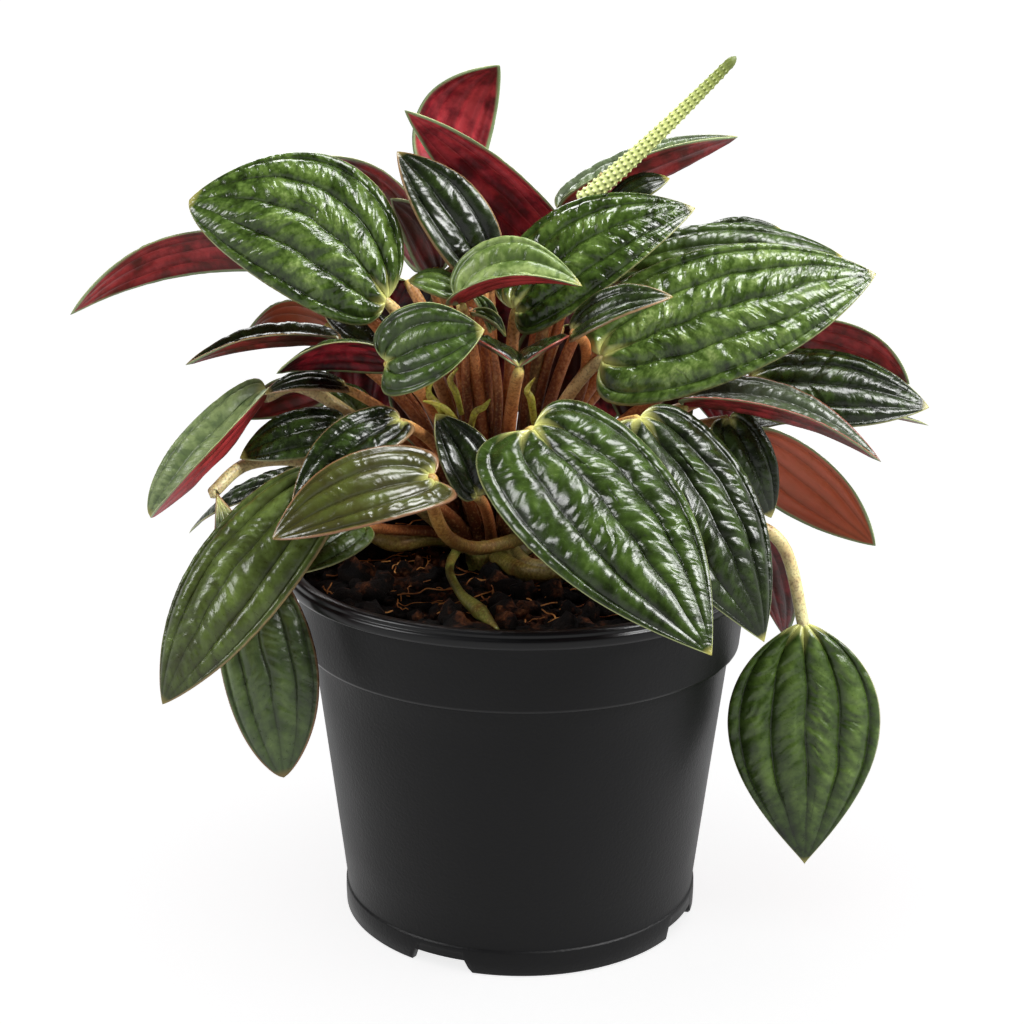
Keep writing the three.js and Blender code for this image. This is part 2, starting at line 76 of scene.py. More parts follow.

# %% [markdown]
# ## Colours and nodes
#
# Colours are picked as sRGB hex values, the way a paint chart gives them, and shaders want
# linear light, so one function turns them. Another adds a shader node with its settings and its
# links in one call, which keeps each material readable as a list of steps.

# %% Colour and node helpers
def linear(hex_code):
    """An sRGB hex colour as linear red, green, blue and an alpha of 1."""
    channels = [int(hex_code[i:i + 2], 16) / 255 for i in (1, 3, 5)]
    return [c / 12.92 if c <= 0.04045 else ((c + 0.055) / 1.055) ** 2.4 for c in channels] + [1.0]


def add_node(tree, kind, inputs=(), stops=(), **settings):
    """One node with its settings; inputs are values, hex colours, other nodes or their outputs."""
    made = tree.nodes.new("ShaderNode" + kind)
    for name, value in settings.items():
        setattr(made, name, value)
    for key, value in (inputs.items() if isinstance(inputs, dict) else enumerate(inputs)):
        if isinstance(value, bpy.types.Node):
            value = next(output for output in value.outputs if output.enabled)
        if isinstance(value, bpy.types.NodeSocket):
            tree.links.new(value, made.inputs[key])
        else:
            made.inputs[key].default_value = linear(value) if isinstance(value, str) else value
    for i, (place, colour) in enumerate(stops):
        ramp = made.color_ramp.elements
        stop = ramp[i] if i < 2 else ramp.new(place)
        stop.position = place
        stop.color = linear(colour)
    return made


def new_material(name):
    """An empty material and its node tree."""
    material = bpy.data.materials.new(name)
    material.use_nodes = True
    material.node_tree.nodes.clear()
    return material, material.node_tree


# %% [markdown]
# ## The studio
#
# A picture on pure white is often taken on a light table, a sheet of white acrylic lit from below,
# because shadows on it stay faint. The walls are pale too, but dim above, so that dark leaves stay
# dark between their highlights. Large soft panels overhead and at each side draw the grey bands
# down the pot and the white glints on the leaf ridges. Light linking keeps those panels off the
# floor, which gets one very wide even light of its own, so that only the pot's foot shades it.

# %% Floor, world and lights
FLOOR_RADIUS = 60.0  # metres, so that its edge lies on the horizon
FLOOR_SIDES = 96
FLOOR_GLOW = 0.80  # how strongly the sheet shines by itself
FLOOR_GREY = 0.80  # how much light it throws back
SKY_ANGLE = 110  # degrees that the even light over the floor spreads over
SKY_STRENGTH = 0.70
# how bright the walls are at each height: share of the way up from the horizon, sRGB grey
WALL_TONES = [(0.0, "#fafafa"), (1.0, "#505052"), (0.06, "#f2f2f2"), (0.22, "#505052")]
# name: place in metres, size in metres, power in watts
PANELS = {
    "key": ((0.75, -0.4, 1.0), 0.5, 26.0),
    "overhead": ((0.2, 0.2, 1.15), 0.45, 13.0),
    "left_side": ((-1.0, -0.35, 0.75), 0.4, 10.0),
    "right_side": ((1.05, 0.1, 0.75), 0.4, 9.0),
    "behind": ((-0.25, 1.1, 0.95), 0.5, 9.0),
}
AIM = Vector((0, 0, 0.13))  # metres, the middle of the plant, which every panel faces

bpy.ops.mesh.primitive_circle_add(vertices=FLOOR_SIDES, radius=FLOOR_RADIUS, fill_type="NGON")
floor = bpy.context.object
floor.name = "floor"
acrylic, acrylic_tree = new_material("backlit_white_acrylic")
# opal acrylic with a matt face: an even white glow without a mirror image of the pot
sheet = add_node(acrylic_tree, "BsdfPrincipled", {
    "Base Color": (FLOOR_GREY, FLOOR_GREY, FLOOR_GREY, 1), "Roughness": 0.9,
    "Specular IOR Level": 0.0, "Emission Color": "#ffffff", "Emission Strength": FLOOR_GLOW})
add_node(acrylic_tree, "OutputMaterial", {"Surface": sheet})
floor.data.materials.append(acrylic)

world = bpy.context.scene.world or bpy.data.worlds.new("studio")
bpy.context.scene.world = world
world.use_nodes = True
walls = world.node_tree
direction = add_node(walls, "TexCoord").outputs["Generated"]
height = add_node(walls, "SeparateXYZ", [direction]).outputs["Z"]
tones = add_node(walls, "ValToRGB", [height], WALL_TONES)
walls.links.new(tones.outputs[0], walls.nodes["Background"].inputs["Color"])

off_floor = bpy.data.collections.new("all_but_the_floor")
off_floor.objects.link(floor)
off_floor.collection_objects[0].light_linking.link_state = "EXCLUDE"
on_floor = bpy.data.collections.new("only_the_floor")
on_floor.objects.link(floor)

for name, (place, size, power) in PANELS.items():
    panel = bpy.data.lights.new(name, "AREA")
    panel.shape = "SQUARE"
    panel.size = size
    panel.energy = power
    light = bpy.data.objects.new(name, panel)
    light.location = place
    light.rotation_euler = (AIM - Vector(place)).to_track_quat("-Z", "Y").to_euler()
    light.light_linking.receiver_collection = off_floor
    bpy.context.scene.collection.objects.link(light)
sky = bpy.data.lights.new("over_the_floor", "SUN")
sky.angle = math.radians(SKY_ANGLE)
sky.energy = SKY_STRENGTH
sky_light = bpy.data.objects.new("over_the_floor", sky)
sky_light.light_linking.receiver_collection = on_floor
bpy.context.scene.collection.objects.link(sky_light)
bpy.context.scene.view_settings.view_transform = "Standard"
print("lights:", len(PANELS))

# %% [markdown]
# ## Making a mesh piece
#
# Each piece is worked out as arrays of points and faces and handed to Blender once. Numbers that a
# material needs, such as how far a point lies from a vein, travel with the mesh as attributes: they
# stay with the surface in every view.

# %% Mesh helpers
BLUNTNESS = 0.5  # how far a stem's end stands out, as a share of its radius
OFF_AXIS = (0.3, 0.5, 0.8)  # a direction that no stem starts along
SEED_STEPS = (17.3, 5.1, 9.7)  # how far apart in noise space two seeds lie


def make_piece(name, points, faces, materials, replaced=(), marks=None,
               face_material=None):
    """A smooth mesh from points in mm, which rides on the body and stands for the replaced nodes."""
    mesh = bpy.data.meshes.new(name)
    mesh.from_pydata((np.asarray(points) * MM).tolist(), [], faces)
    for material in materials:
        mesh.materials.append(material)
    if face_material is not None:
        mesh.polygons.foreach_set("material_index", face_material)
    for mark, values in (marks or {}).items():
        attribute = mesh.attributes.new(mark, "FLOAT_VECTOR", "POINT")
        attribute.data.foreach_set("vector", np.asarray(values, np.float32).ravel())
    mesh.polygons.foreach_set("use_smooth", [True] * len(mesh.polygons))
    mesh.update()
    piece = bpy.data.objects.new(name, mesh)
    bpy.context.scene.collection.objects.link(piece)
    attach(piece, "root")
    if replaced:
        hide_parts(*replaced)


def unit(vector):
    """The vector, or each row of several, at length 1."""
    vector = np.asarray(vector, float)
    return vector / np.linalg.norm(vector, axis=-1, keepdims=True)


def ring_faces(ring_count, sides, downward=False):
    """Faces over rings of points, between one first and one last point.

    The rings turn anticlockwise seen from the last point, or downward ones from the first.
    """
    faces = []
    end = 1 + ring_count * sides
    for j in range(sides):
        k = (j + 1) % sides
        faces.append((0, 1 + k, 1 + j))
        for low in range(1, end - sides, sides):
            faces.append((low + j, low + k, low + sides + k, low + sides + j))
        faces.append((end - sides + j, end - sides + k, end))
    return [face[:1] + face[:0:-1] for face in faces] if downward else faces


def marks_of(*values):
    """One row for each point, from values that differ by point or are the same for all."""
    return np.stack(np.broadcast_arrays(*values), -1)


def tube(path, radii, sides):
    """A closed round stem along path, in mm: points, faces, and each point's share of the way."""
    path = np.asarray(path, float)
    radii = np.broadcast_to(radii, len(path))
    heading = unit(np.gradient(path, axis=0))
    across = np.cross(heading[0], OFF_AXIS)
    rings = []
    turn = np.linspace(0, 2 * np.pi, sides, endpoint=False)[:, None]
    for centre, ahead, radius in zip(path, heading, radii):
        across = unit(across - ahead * (across @ ahead))
        level = np.cross(ahead, across)
        rings.append(centre + radius * (np.cos(turn) * across + np.sin(turn) * level))
    start = path[:1] - heading[0] * radii[0] * BLUNTNESS
    end = path[-1:] + heading[-1] * radii[-1] * BLUNTNESS
    shares = np.concatenate([[0], np.repeat(np.linspace(0, 1, len(path)), sides), [1]])
    return np.vstack([start, *rings, end]), ring_faces(len(path), sides), shares


def joined(parts):
    """Several (points, faces) as one list of points and one of faces."""
    points, faces, start = [], [], 0
    for part_points, part_faces in parts:
        points.append(part_points)
        faces += [tuple(corner + start for corner in face) for face in part_faces]
        start += len(part_points)
    return np.vstack(points), faces


def smooth_line(points, steps):
    """A Catmull-Rom curve through given points, in steps between each two."""
    points = np.asarray(points, float)
    held = np.vstack([2 * points[0] - points[1], points, 2 * points[-1] - points[-2]])
    line = []
    for a, b, c, d in zip(held, held[1:], held[2:], held[3:]):
        for s in np.linspace(0, 1, steps, endpoint=False):
            bend = (2 * a - 5 * b + 4 * c - d) * s * s + (3 * b - a - 3 * c + d) * s ** 3
            line.append(b + 0.5 * ((c - a) * s + bend))
    return np.array(line + [points[-1]])


def grain(points, scale, seed):
    """Smooth noise from -1 to 1 at each point; scale is cycles per mm."""
    offset = Vector([seed * step for step in SEED_STEPS])
    return np.array([noise.noise(Vector(p) * scale + offset) for p in points])


# %% [markdown]
# ## The leaves
#
# Every blade is placed by its stalk's end, its tip, its width and the way it faces. The midrib is
# an arch between the two ends, the halves are folded or curled about it, and the outline is a
# smooth hump whose two exponents set how blunt the base and the tip are.
# The tone, grey, olive, rust and blush numbers tint each leaf: tone runs from dark to light on both
# sides, the underside from wine red to rust, and blush is how red and how wide the margin is. Matt
# tells how dull the wax is and relief how wrinkled; cream and leafy tint the stalk.

# %% Table of leaves
LEAF = dict(arch=3, sway=0, fold=0, curl=-20, lobe=0.12, p=0.6, q=0.9, stalk=None,
            tone=0.4, grey=0.0, olive=0.0, rust=0.1, blush=0.15, matt=0.5, relief=1.0,
            cream=0.0, leafy=0.0)
REAR = dict(arch=5, curl=-15)  # how the broad leaves behind the plant are bent


def blade(name, base, tip, width, face, **shape):
    """One row: places in mm, the direction that the upper side faces, and what differs from LEAF."""
    return {**LEAF, "name": "leaf_" + name, "base": base, "tip": tip, "width": width,
            "face": face, **shape}


LEAVES = [
    blade("left_broad", (-33, -6, 160), (-81, 2, 183), 38, (-0.2, -0.8, 0.6),
          arch=6, sway=-7.5, fold=-2, lobe=0.06, q=0.75, tone=0.66, matt=0.2, cream=0.3),
    blade("far_left", (-55, 8, 168), (-111, 0, 155), 22, (0, 0.6, 0.8), arch=10, lobe=0.1, tone=0.6),
    blade("left_behind", (-25, 21, 166), (-52, 25, 191), 22, (0.3, 0.6, 0.7), arch=6, tone=0.45),
    blade("centre_upright", (-10, 4, 166), (-31, 10, 194), 19, (0.3, -0.8, 0.5),
          fold=10, curl=0, tone=0.26, blush=0.6, matt=0.4, relief=0.5),
    blade("top_red", (8, 22.5, 168.5), (-29, 9, 204), 21, (0.3, 0.75, 0.55),
          arch=2, p=0.5, tone=0.68, rust=0),
    blade("top_back", (-18, 26, 185), (-6, 22, 214), 21, (-0.2, 0.95, 0.2),
          arch=5, sway=-4, tone=0.74, rust=0),
    blade("centre_glossy", (-2, -2, 157), (42, 6, 181), 28, (-0.1, -0.7, 0.7),
          arch=5, sway=4, curl=-15, tone=0.56, matt=0.1),
    blade("centre_pale", (-15, -10, 160), (14, -14, 165), 26, (0, -0.34, 0.94),
          fold=38, curl=0, lobe=0.18, tone=0.94, blush=0.0, matt=0.7, relief=0.8),
    blade("heart_small", (-32, -22, 148), (-9, -27, 157), 22, (0, -0.8, 0.6),
          arch=2, fold=8, curl=0, lobe=0.2, tone=0.58, blush=0.0, matt=0.6, relief=0.8),
    blade("left_red", (-32, -10, 146), (-59, -16, 144), 22, (-0.1, 0.5, 0.85), arch=4, rust=0),
    blade("left_long", (-46, 2, 147), (-83, -2, 143), 18, (0, 0, 1),
          arch=2, fold=26, curl=0, tone=0.28, blush=0.6, relief=0.7),
    blade("left_sliver", (-50, 26, 148), (-71, 20, 146), 18, (0, 0.6, 0.8), arch=5, rust=0.7),
    blade("left_inner", (-34, 17, 144), (-51, 19, 153), 13, (0, -0.7, 0.7), tone=0.3),
    blade("left_drooping", (-64, 6, 134), (-92.5, -6, 105), 26, (-0.6, -0.3, 0.6),
          arch=1, fold=36, curl=0, sway=9, q=0.65, tone=1, grey=0.4, cream=0.9, matt=0.9,
          stalk=((-14, 10, 94), (-26, 6, 112), (-43, 4, 129), (-56, 6, 136))),
    blade("left_narrow", (-44, -2, 138), (-63, -8, 137), 12, (0, -0.2, 0.95), tone=0.2, blush=0.6),
    blade("left_low", (-44, -6, 129), (-69, -12, 122), 16, (0, -0.6, 0.8), tone=0.42, relief=1.4),
    blade("left_shaded", (-52, 15, 133), (-71, 16, 125), 14, (0, 0.8, 0.5)),
    blade("front_left_hanging", (-74.5, -17, 115.5), (-57, -41, 50.5), 25, (-0.2, -0.95, 0.2),
          sway=3.5, fold=-5, curl=-10, lobe=0, p=1.2, q=0.75, tone=0.64, grey=0.2, blush=0.7,
          cream=1.0, matt=0.6, relief=0.6,
          stalk=((-14, 9, 93), (-30, 0, 109), (-52, -4, 119), (-67, -9, 120))),
    blade("front_left_broad", (-47, -28, 122), (-84, -48, 72), 28, (-0.4, -0.8, 0.4),
          arch=8, fold=-5, lobe=0.1, p=0.75, tone=0.64, olive=0.3, blush=0.5, matt=0.6, relief=0.65),
    blade("front_olive", (-21, -38, 124), (-57, -50, 113), 22, (0, -0.6, 0.8),
          arch=4, fold=10, curl=0, lobe=0.2, olive=0.5, blush=0.7, leafy=0.45, matt=0.35,
          relief=0.35,
          stalk=((0, 8, 96), (-5, -4, 98), (-12, -14, 100), (-18, -27, 107), (-21, -36, 117))),
    blade("front_dark", (-29, -22, 134), (-54, -36, 116), 16, (-0.2, -0.7, 0.7),
          arch=4, fold=8, curl=0, tone=0.32, blush=0.6, matt=0.3, relief=1.5),
    blade("front_young", (-11, -20, 115), (-21, -14, 134), 15, (0.4, -0.8, 0.3),
          arch=2, fold=20, curl=0, lobe=0.1, tone=0.2, matt=0.4, relief=0.8),
    blade("front_broad", (2, -38, 136), (41, -76, 95), 39, (0.1, -0.75, 0.6),
          arch=6, fold=-4, curl=-15, lobe=0.16, q=1, tone=0.46, blush=0.0, matt=0.4, relief=0.45),
    blade("front_right", (27, -27, 136), (56, -48, 88), 36, (0.4, -0.7, 0.5),
          arch=6, fold=-4, curl=-15, lobe=0.1, q=1, tone=0.3, blush=0.0, matt=0.45, relief=0.4),
    blade("right_broad", (19, -10, 147), (86, 0, 166), 36, (0.1, -0.75, 0.6),
          arch=5, sway=1, curl=-15, lobe=0.14, tone=0.71, matt=0.25, cream=0.5),
    blade("right_small", (12, -15, 154), (35, -22, 164), 13, (0, -0.5, 0.8),
          fold=10, curl=0, tone=0.42, blush=0.6,
          stalk=((3, 6, 96), (10, 2, 122), (15, -3, 140), (15, -10, 150))),
    blade("centre_cupped", (-1, -22, 147), (-1, -3, 147), 28, (0, 0.03, 1),
          arch=-1, fold=36, curl=-10, lobe=0.25, blush=0.9),
    blade("by_spike", (12, 32, 174.5), (55, 34, 195.5), 29, (-0.1, 0, 1),
          arch=-1, fold=38, curl=0, tone=0.6, grey=0.6),
    blade("back_tip", (23, 22, 180), (37, 24, 186), 10, (0, -0.5, 0.8), arch=2, tone=0.2),
    blade("right_back_short", (43, 28, 166), (67, 30, 172), 16, (0, -0.5, 0.8)),
    blade("right_back_long", (24, 16, 165), (81, 20, 167), 18, (0, -0.6, 0.8),
          arch=6, tone=0.5, relief=0.5),
    blade("right_red", (70, 19, 147), (99, 16, 135), 22, (0.2, 0.7, 0.6), tone=0.6),
    blade("right_dark", (58, 10, 136.5), (102, 5, 131.5), 24, (0, -0.7, 0.7),
          arch=4, tone=0.32, relief=0.7),
    blade("right_torn", (39, -11, 135.5), (87, -15, 122.5), 24, (0, -0.1, 1),
          fold=30, curl=0, tone=0.35, grey=0.3, blush=0.9, relief=0.6),
    blade("right_rust", (57, 4, 123), (90, 2, 96), 23, (0.4, 0.8, 0.3),
          arch=4, sway=2, tone=0.9, rust=0.8),
    blade("right_shaded", (50, -10, 132), (61, -14, 108), 16, (0.4, -0.8, 0.3), arch=2, tone=0.35),
    blade("right_hanging", (70, -14, 81), (72, -22, 19), 39, (0, -0.95, 0.2),
          arch=4, fold=-6, curl=-10, lobe=0, p=0.75, q=1.1, tone=0.6, cream=1.0, matt=0.6,
          relief=0.45,
          stalk=((-4, 8, 94), (4, -10, 94), (25, -15, 98), (50, -12, 106), (64, -12, 101))),
    blade("inner_maroon", (-21, 8, 165), (-33, 14, 182), 16, (0.3, 0.7, 0.5), tone=0.1),
    blade("inner_striped", (-16, -3, 162), (-28, -1, 164), 9, (0, -0.6, 0.8), arch=2, tone=0.8),
    blade("inner_green", (-40, 10.5, 126), (-49, 12.5, 135), 11, (0, -0.7, 0.7), arch=2, tone=0.7),
    blade("inner_right", (24, -13, 127), (40, -18, 124), 11, (0, -0.6, 0.8), arch=2),
    blade("rim_pale", (-39, -18, 107), (-53, -32, 99), 13, (0, -0.5, 0.8),
          arch=2, tone=0.7, stalk=((-13, 10, 94), (-22, 6, 98), (-32, -2, 101))),
    blade("rear_upper_1", (52, 26, 120), (110, 41, 118), 27, (0.5, 0.33, 1), **REAR),
    blade("rear_upper_2", (36, 26, 150), (58, 52, 110), 28, (0.6, 0.7, 0.7),
          **REAR, tone=0.5, rust=0),
    blade("rear_upper_3", (15, 37, 160), (25, 67, 112), 34, (0.3, 0.8, 0.5),
          **REAR, tone=0.55, rust=0),
    blade("rear_upper_4", (-9, 31, 162), (-10, 59, 108), 32, (0, 0.9, 0.45),
          **REAR, tone=0.45, rust=0),
    blade("rear_upper_5", (-30, 34, 158), (-44, 62, 106), 34, (-0.35, 0.8, 0.5), **REAR, rust=0),
    blade("rear_upper_6", (-42, 26, 120), (-76, 46, 104), 30, (-0.82, 0.57, 1), **REAR,
          tone=0.5),
    blade("rear_upper_7", (-50, 10, 112), (-87, 17, 94), 26, (-0.98, 0.17, 1), **REAR),
    blade("rear_lower_1", (49, 28, 106), (74, 44, 56), 30, (0.83, 0.56, 1), **REAR),
    blade("rear_lower_2", (30, 42, 107), (48, 65, 56), 30, (0.55, 0.83, 1), **REAR),
    blade("rear_lower_3", (8, 51, 116), (12, 76, 64), 31, (0.17, 1, 1), arch=5, curl=-8, lobe=0.04),
    blade("rear_lower_4", (-15, 50, 113), (-21, 74, 61), 30, (-0.25, 1, 1), **REAR),
    blade("rear_lower_5", (-39, 42, 106), (-56, 63, 55), 30, (-0.65, 0.76, 1), **REAR),
]
# three leaves deep behind the stalks, almost black from a tone near 0 that is painted shade, and two
# young folded ones at the heart
YOUNG_LEAVES = [
    blade("deep_left", (-23, 40, 142), (-27, 56, 104), 24, (-0.1, 0.9, 0.4),
          curl=-15, tone=0.02),
    blade("deep_middle", (10, 34, 146), (8, 52, 104), 24, (0, 0.9, 0.4), curl=-15, tone=0.02),
    blade("deep_right", (31, 30, 140), (38, 44, 106), 24, (0.3, 0.9, 0.4),
          curl=-15, tone=0.02),
    blade("young_green", (-8, -2, 152), (-13, -2, 162), 6, (0.6, -0.7, 0.2),
          arch=1, fold=35, curl=0, tone=0.7, stalk=((-7, 4, 118), (-6, 0, 136))),
    blade("young_curled", (-12.4, -7, 157), (-4, -8, 151.5), 5, (0.3, -0.6, 0.7),
          arch=1.5, fold=45, curl=0, tone=0.85, stalk=((-12, 4, 120), (-14, -2, 140))),
]
print("leaves:", len(LEAVES), "and", len(YOUNG_LEAVES), "small or shaded")

# %% [markdown]
# ## The blade's shape
#
# The same formulas that place the plain blades are used here, sampled twice a millimetre. Columns
# fall exactly on the veins, so that the grooves stay sharp. On top comes the relief that gives this
# plant its name: between two veins the blade swells into a ridge, and slanting cross creases break
# each ridge into pillows. The underside is smooth, with only the ridges pressed through.

# %% Blade formulas
HALF_THICKNESS = 0.33  # mm
RIDGE = 1.5  # mm, height of a ridge over its veins on a broad blade
PILLOW = 0.8  # mm, depth of the slanting crease between two pillows of a ridge
PILLOW_LENGTH = 5.5  # mm
SLANT = 0.8  # how far a crease leans towards the tip for each mm outwards
RIPPLE = 0.2  # mm, height of the finer folds over a pillow
RIPPLE_LENGTH = 2.3  # mm
GROOVE = 0.12  # mm, extra depth along a vein
WANDER = 0.06  # how far a vein strays sideways, as a share of the half width
WANDER_SCALE = 0.11  # bends of a vein per mm
SAMPLE = 0.45  # mm between mesh rows
ROW_CROWDING = 1.15  # exponent by which rows crowd towards the stalk
LOBE = (0.7, 4)  # exponents of the hump by which the lobes beside the stalk reach back
BROAD_WIDTH = 30.0  # mm, of a blade with full ridges
WAXY_WIDTH = 32.0  # mm, of a blade whose skin is wrinkled to the full
BROAD_LENGTH = 60.0  # mm, of a blade with a full star at the stalk
FULL_STRIP = 0.3  # share of the half width that a strip between veins needs for a full ridge
# amount in pillows, ripples or mm, and cycles per mm, of the noise that makes each uneven
PILLOW_DRIFT = (0.9, 0.1)
RIPPLE_DRIFT = (1.5, 0.17)
DENTS = (0.22, 0.28)
# mean, spread and cycles per mm: how deep creases are, and how strong ripples
CREASE_DEPTH = (0.55, 1.1, 0.07)
RIPPLE_CLUMPS = (0.3, 2.0, 0.13)
GROOVE_WIDTH = 0.7  # mm
FLAT_APART = 11.0  # mm between two blades in the flat space that their skins' noise reads


def breadth(t, p, q):
    """Half width along the blade, 0 at both ends and 1 at its widest."""
    widest = p / (p + q)
    return t ** p * (1 - t) ** q / (widest ** p * (1 - widest) ** q)


def veins_of(width):
    """Where the veins beside the midrib run, as shares of the half width."""
    if width >= 32:
        return (0.45, 0.85)
    return (0.5, 0.86) if width >= 20 else (0.6,)


def blade_axes(leaf):
    """Where the blade starts; its directions along, up and sideways; and its length."""
    base = np.array(leaf["base"], float)
    along = np.array(leaf["tip"], float) - base
    length = np.linalg.norm(along)
    along = along / length
    face = np.array(leaf["face"], float)
    up = unit(face - along * (face @ along))
    return base, along, up, np.cross(up, along), length


def blade_surface(leaf, t, v, lift):
    """Points of the blade at shares t from stalk to tip and v across it, lifted along its face."""
    base, along, up, side, length = blade_axes(leaf)
    wide = breadth(t, leaf["p"], leaf["q"])
    reach = np.abs(v) * wide * leaf["width"] / 2
    angle = math.radians(leaf["fold"]) + math.radians(leaf["curl"]) * np.abs(v) * wide / 2
    share = t - leaf["lobe"] * v * v * breadth(t, *LOBE)
    sideways = np.sign(v) * reach * np.cos(angle) + leaf["sway"] * 4 * t * (1 - t)
    upward = reach * np.sin(angle) + lift + leaf["arch"] * 4 * share * (1 - share)
    place = np.outer(share * length, along) + np.outer(sideways, side) + np.outer(upward, up)
    return base + place


# %% Blade relief
def blade_relief(leaf, t, v, seed):
    """The ridges, and the same with creases and grooves, in mm; and each point's vein distance."""
    length = blade_axes(leaf)[4]
    wide = breadth(t, leaf["p"], leaf["q"])
    half = wide * leaf["width"] / 2
    veins = np.array((0.0, *veins_of(leaf["width"]), 1.0))
    strip = np.clip(np.searchsorted(veins, np.abs(v), side="right") - 1, 0, len(veins) - 2)
    inner, outer = veins[strip], veins[strip + 1]
    s = np.clip((np.abs(v) - inner) / (outer - inner), 0, 1)
    at_margin = outer == 1.0
    # a dome between two veins; beside the margin it is steeper inside and stays up at the edge
    swell = np.where(at_margin, np.sin(np.pi * 0.85 * s ** 0.8) ** 0.8, (4 * s * (1 - s)) ** 0.95)
    broad = np.clip(leaf["width"] / BROAD_WIDTH, 0.45, 1.1)
    strength = np.minimum(1, (outer - inner) / FULL_STRIP) * broad
    swell = swell * strength * np.minimum(1, 3 * wide * (1 - t))
    ridge = RIDGE * swell

    along = t * length
    across = s * (outer - inner) * half
    place = np.stack([v * half, along, np.full_like(t, 3.1 * seed)], -1)
    slanted = along - SLANT * across
    # the last two terms start the pillows of neighbouring ridges at different places
    drift = PILLOW_DRIFT[0] * grain(place, PILLOW_DRIFT[1], 1)
    phase = slanted / PILLOW_LENGTH + drift + 0.37 * strip + 0.5 * (v > 0)
    mean, spread, scale = CREASE_DEPTH
    depth = np.clip(mean + spread * grain(place, scale, 2), 0.1, 1.2)
    crease = (1 - np.abs(np.sin(np.pi * phase)) ** 0.7) * depth
    fine_phase = slanted / RIPPLE_LENGTH + RIPPLE_DRIFT[0] * grain(place, RIPPLE_DRIFT[1], 3)
    mean, spread, scale = RIPPLE_CLUMPS
    ripple = np.sin(2 * np.pi * fine_phase) * np.clip(mean + spread * grain(place, scale, 4), 0, 1)
    dents = DENTS[0] * grain(place, DENTS[1], 5)
    to_outer = np.where(at_margin, np.inf, (1 - s) * (outer - inner))
    to_vein = np.minimum(s * (outer - inner), to_outer) * half
    groove = np.exp(-((to_vein / GROOVE_WIDTH) ** 2)) * np.minimum(1, 4 * wide)
    upper = ridge + (RIPPLE * ripple + dents - PILLOW * crease) * swell - GROOVE * groove
    return ridge, upper, to_vein


# %% Blade mesh
def blade_mesh(leaf, seed):
    """The closed blade: its points, faces, which faces are the underside, and its marks."""
    length = blade_axes(leaf)[4]
    veins = (0.0, *veins_of(leaf["width"]), 1.0)
    half_columns = [0.0]
    for inner, outer in zip(veins, veins[1:]):
        count = max(3, round((outer - inner) * leaf["width"] / 2 / SAMPLE))
        half_columns += list(np.linspace(inner, outer, count + 1)[1:])
    columns = np.array([-v for v in half_columns[:0:-1]] + half_columns)
    row_count = max(16, round(length / SAMPLE))
    rows = (np.arange(1, row_count) / row_count) ** ROW_CROWDING
    t, v = [grid.ravel() for grid in np.meshgrid(rows, columns, indexing="ij")]
    wide = breadth(t, leaf["p"], leaf["q"])
    half = wide * leaf["width"] / 2
    ridge, upper_lift, to_vein = blade_relief(leaf, t, v, seed)
    # the midrib and the veins on each side of it stray by themselves
    own = 4 * np.sign(v) * (np.abs(v) > 0.15) + v
    path = np.stack([own, t * length, np.full_like(t, 2.3 * seed)], -1)
    strayed = v + WANDER * grain(path, WANDER_SCALE, 7) * (1 - v * v) * np.minimum(1, 6 * t * (1 - t))

    shape = (len(rows), len(columns))
    middle = blade_surface(leaf, t, strayed, ridge).reshape(*shape, 3)
    normal = unit(np.cross(np.gradient(middle, axis=0), np.gradient(middle, axis=1))).reshape(-1, 3)
    if (normal @ blade_axes(leaf)[2]).sum() < 0:
        normal = -normal
    thick = HALF_THICKNESS * np.sqrt(1 - np.abs(v) ** 12) * np.minimum(1, 5 * wide)
    upper = blade_surface(leaf, t, strayed, upper_lift) + normal * thick[:, None]
    lower_lift = np.minimum(ridge, upper_lift + HALF_THICKNESS)
    lower = blade_surface(leaf, t, strayed, lower_lift) - normal * thick[:, None]

    base_point, tip_point = blade_surface(leaf, np.array([0.0, 1.0]), np.zeros(2), np.zeros(2))
    points = np.vstack([[base_point], upper, [tip_point], lower])
    across = len(columns)
    tip_index = 1 + len(upper)
    under = tip_index + 1

    def top(i, j):
        return 1 + i * across + j

    def bottom(i, j):
        return top(i, j) if j in (0, across - 1) else under + i * across + j

    faces, is_under = [], []
    last = len(rows) - 1
    for side, at in ((0, top), (1, bottom)):
        for j in range(across - 1):
            fan = [(0, at(0, j), at(0, j + 1)), (at(last, j + 1), at(last, j), tip_index)]
            strip = [(at(i, j), at(i + 1, j), at(i + 1, j + 1), at(i, j + 1)) for i in range(last)]
            for face in fan + strip:
                faces.append(face if side == 0 else face[::-1])
                is_under.append(side)
    used = np.unique(np.concatenate([np.array(face) for face in faces]))
    fresh = np.full(len(points), -1)
    fresh[used] = np.arange(len(used))
    faces = [tuple(int(fresh[corner]) for corner in face) for face in faces]

    flat_mm = np.stack([v * half, t * length, np.full_like(t, seed * FLAT_APART)], -1)
    to_stalk = np.hypot(v * half, t * length) * BROAD_LENGTH / length
    distances = np.stack([to_vein, (1 - np.abs(v)) * half, to_stalk], -1)
    ends_mm = np.array([[0, 0, seed * FLAT_APART], [0, length, seed * FLAT_APART]])
    ends_distance = np.array([[0, 0, 0], [0, 0, length]])
    blade_mm = np.vstack([ends_mm[:1], flat_mm, ends_mm[1:], flat_mm])[used]
    marks_mm = np.vstack([ends_distance[:1], distances, ends_distance[1:], distances])[used]
    habit = np.tile([leaf["tone"], leaf["grey"], leaf["rust"]], (len(used), 1))
    size = np.clip(leaf["width"] / WAXY_WIDTH, 0.3, 1)
    wax = np.tile([leaf["matt"], leaf["relief"] * size, 0], (len(used), 1))
    edge = np.tile([leaf["blush"], leaf["olive"], 0], (len(used), 1))
    edge[:, 2] = length - blade_mm[:, 1]
    marks = {"blade_mm": blade_mm, "marks_mm": marks_mm, "habit": habit, "edge": edge, "wax": wax}
    return points[used], faces, is_under, marks
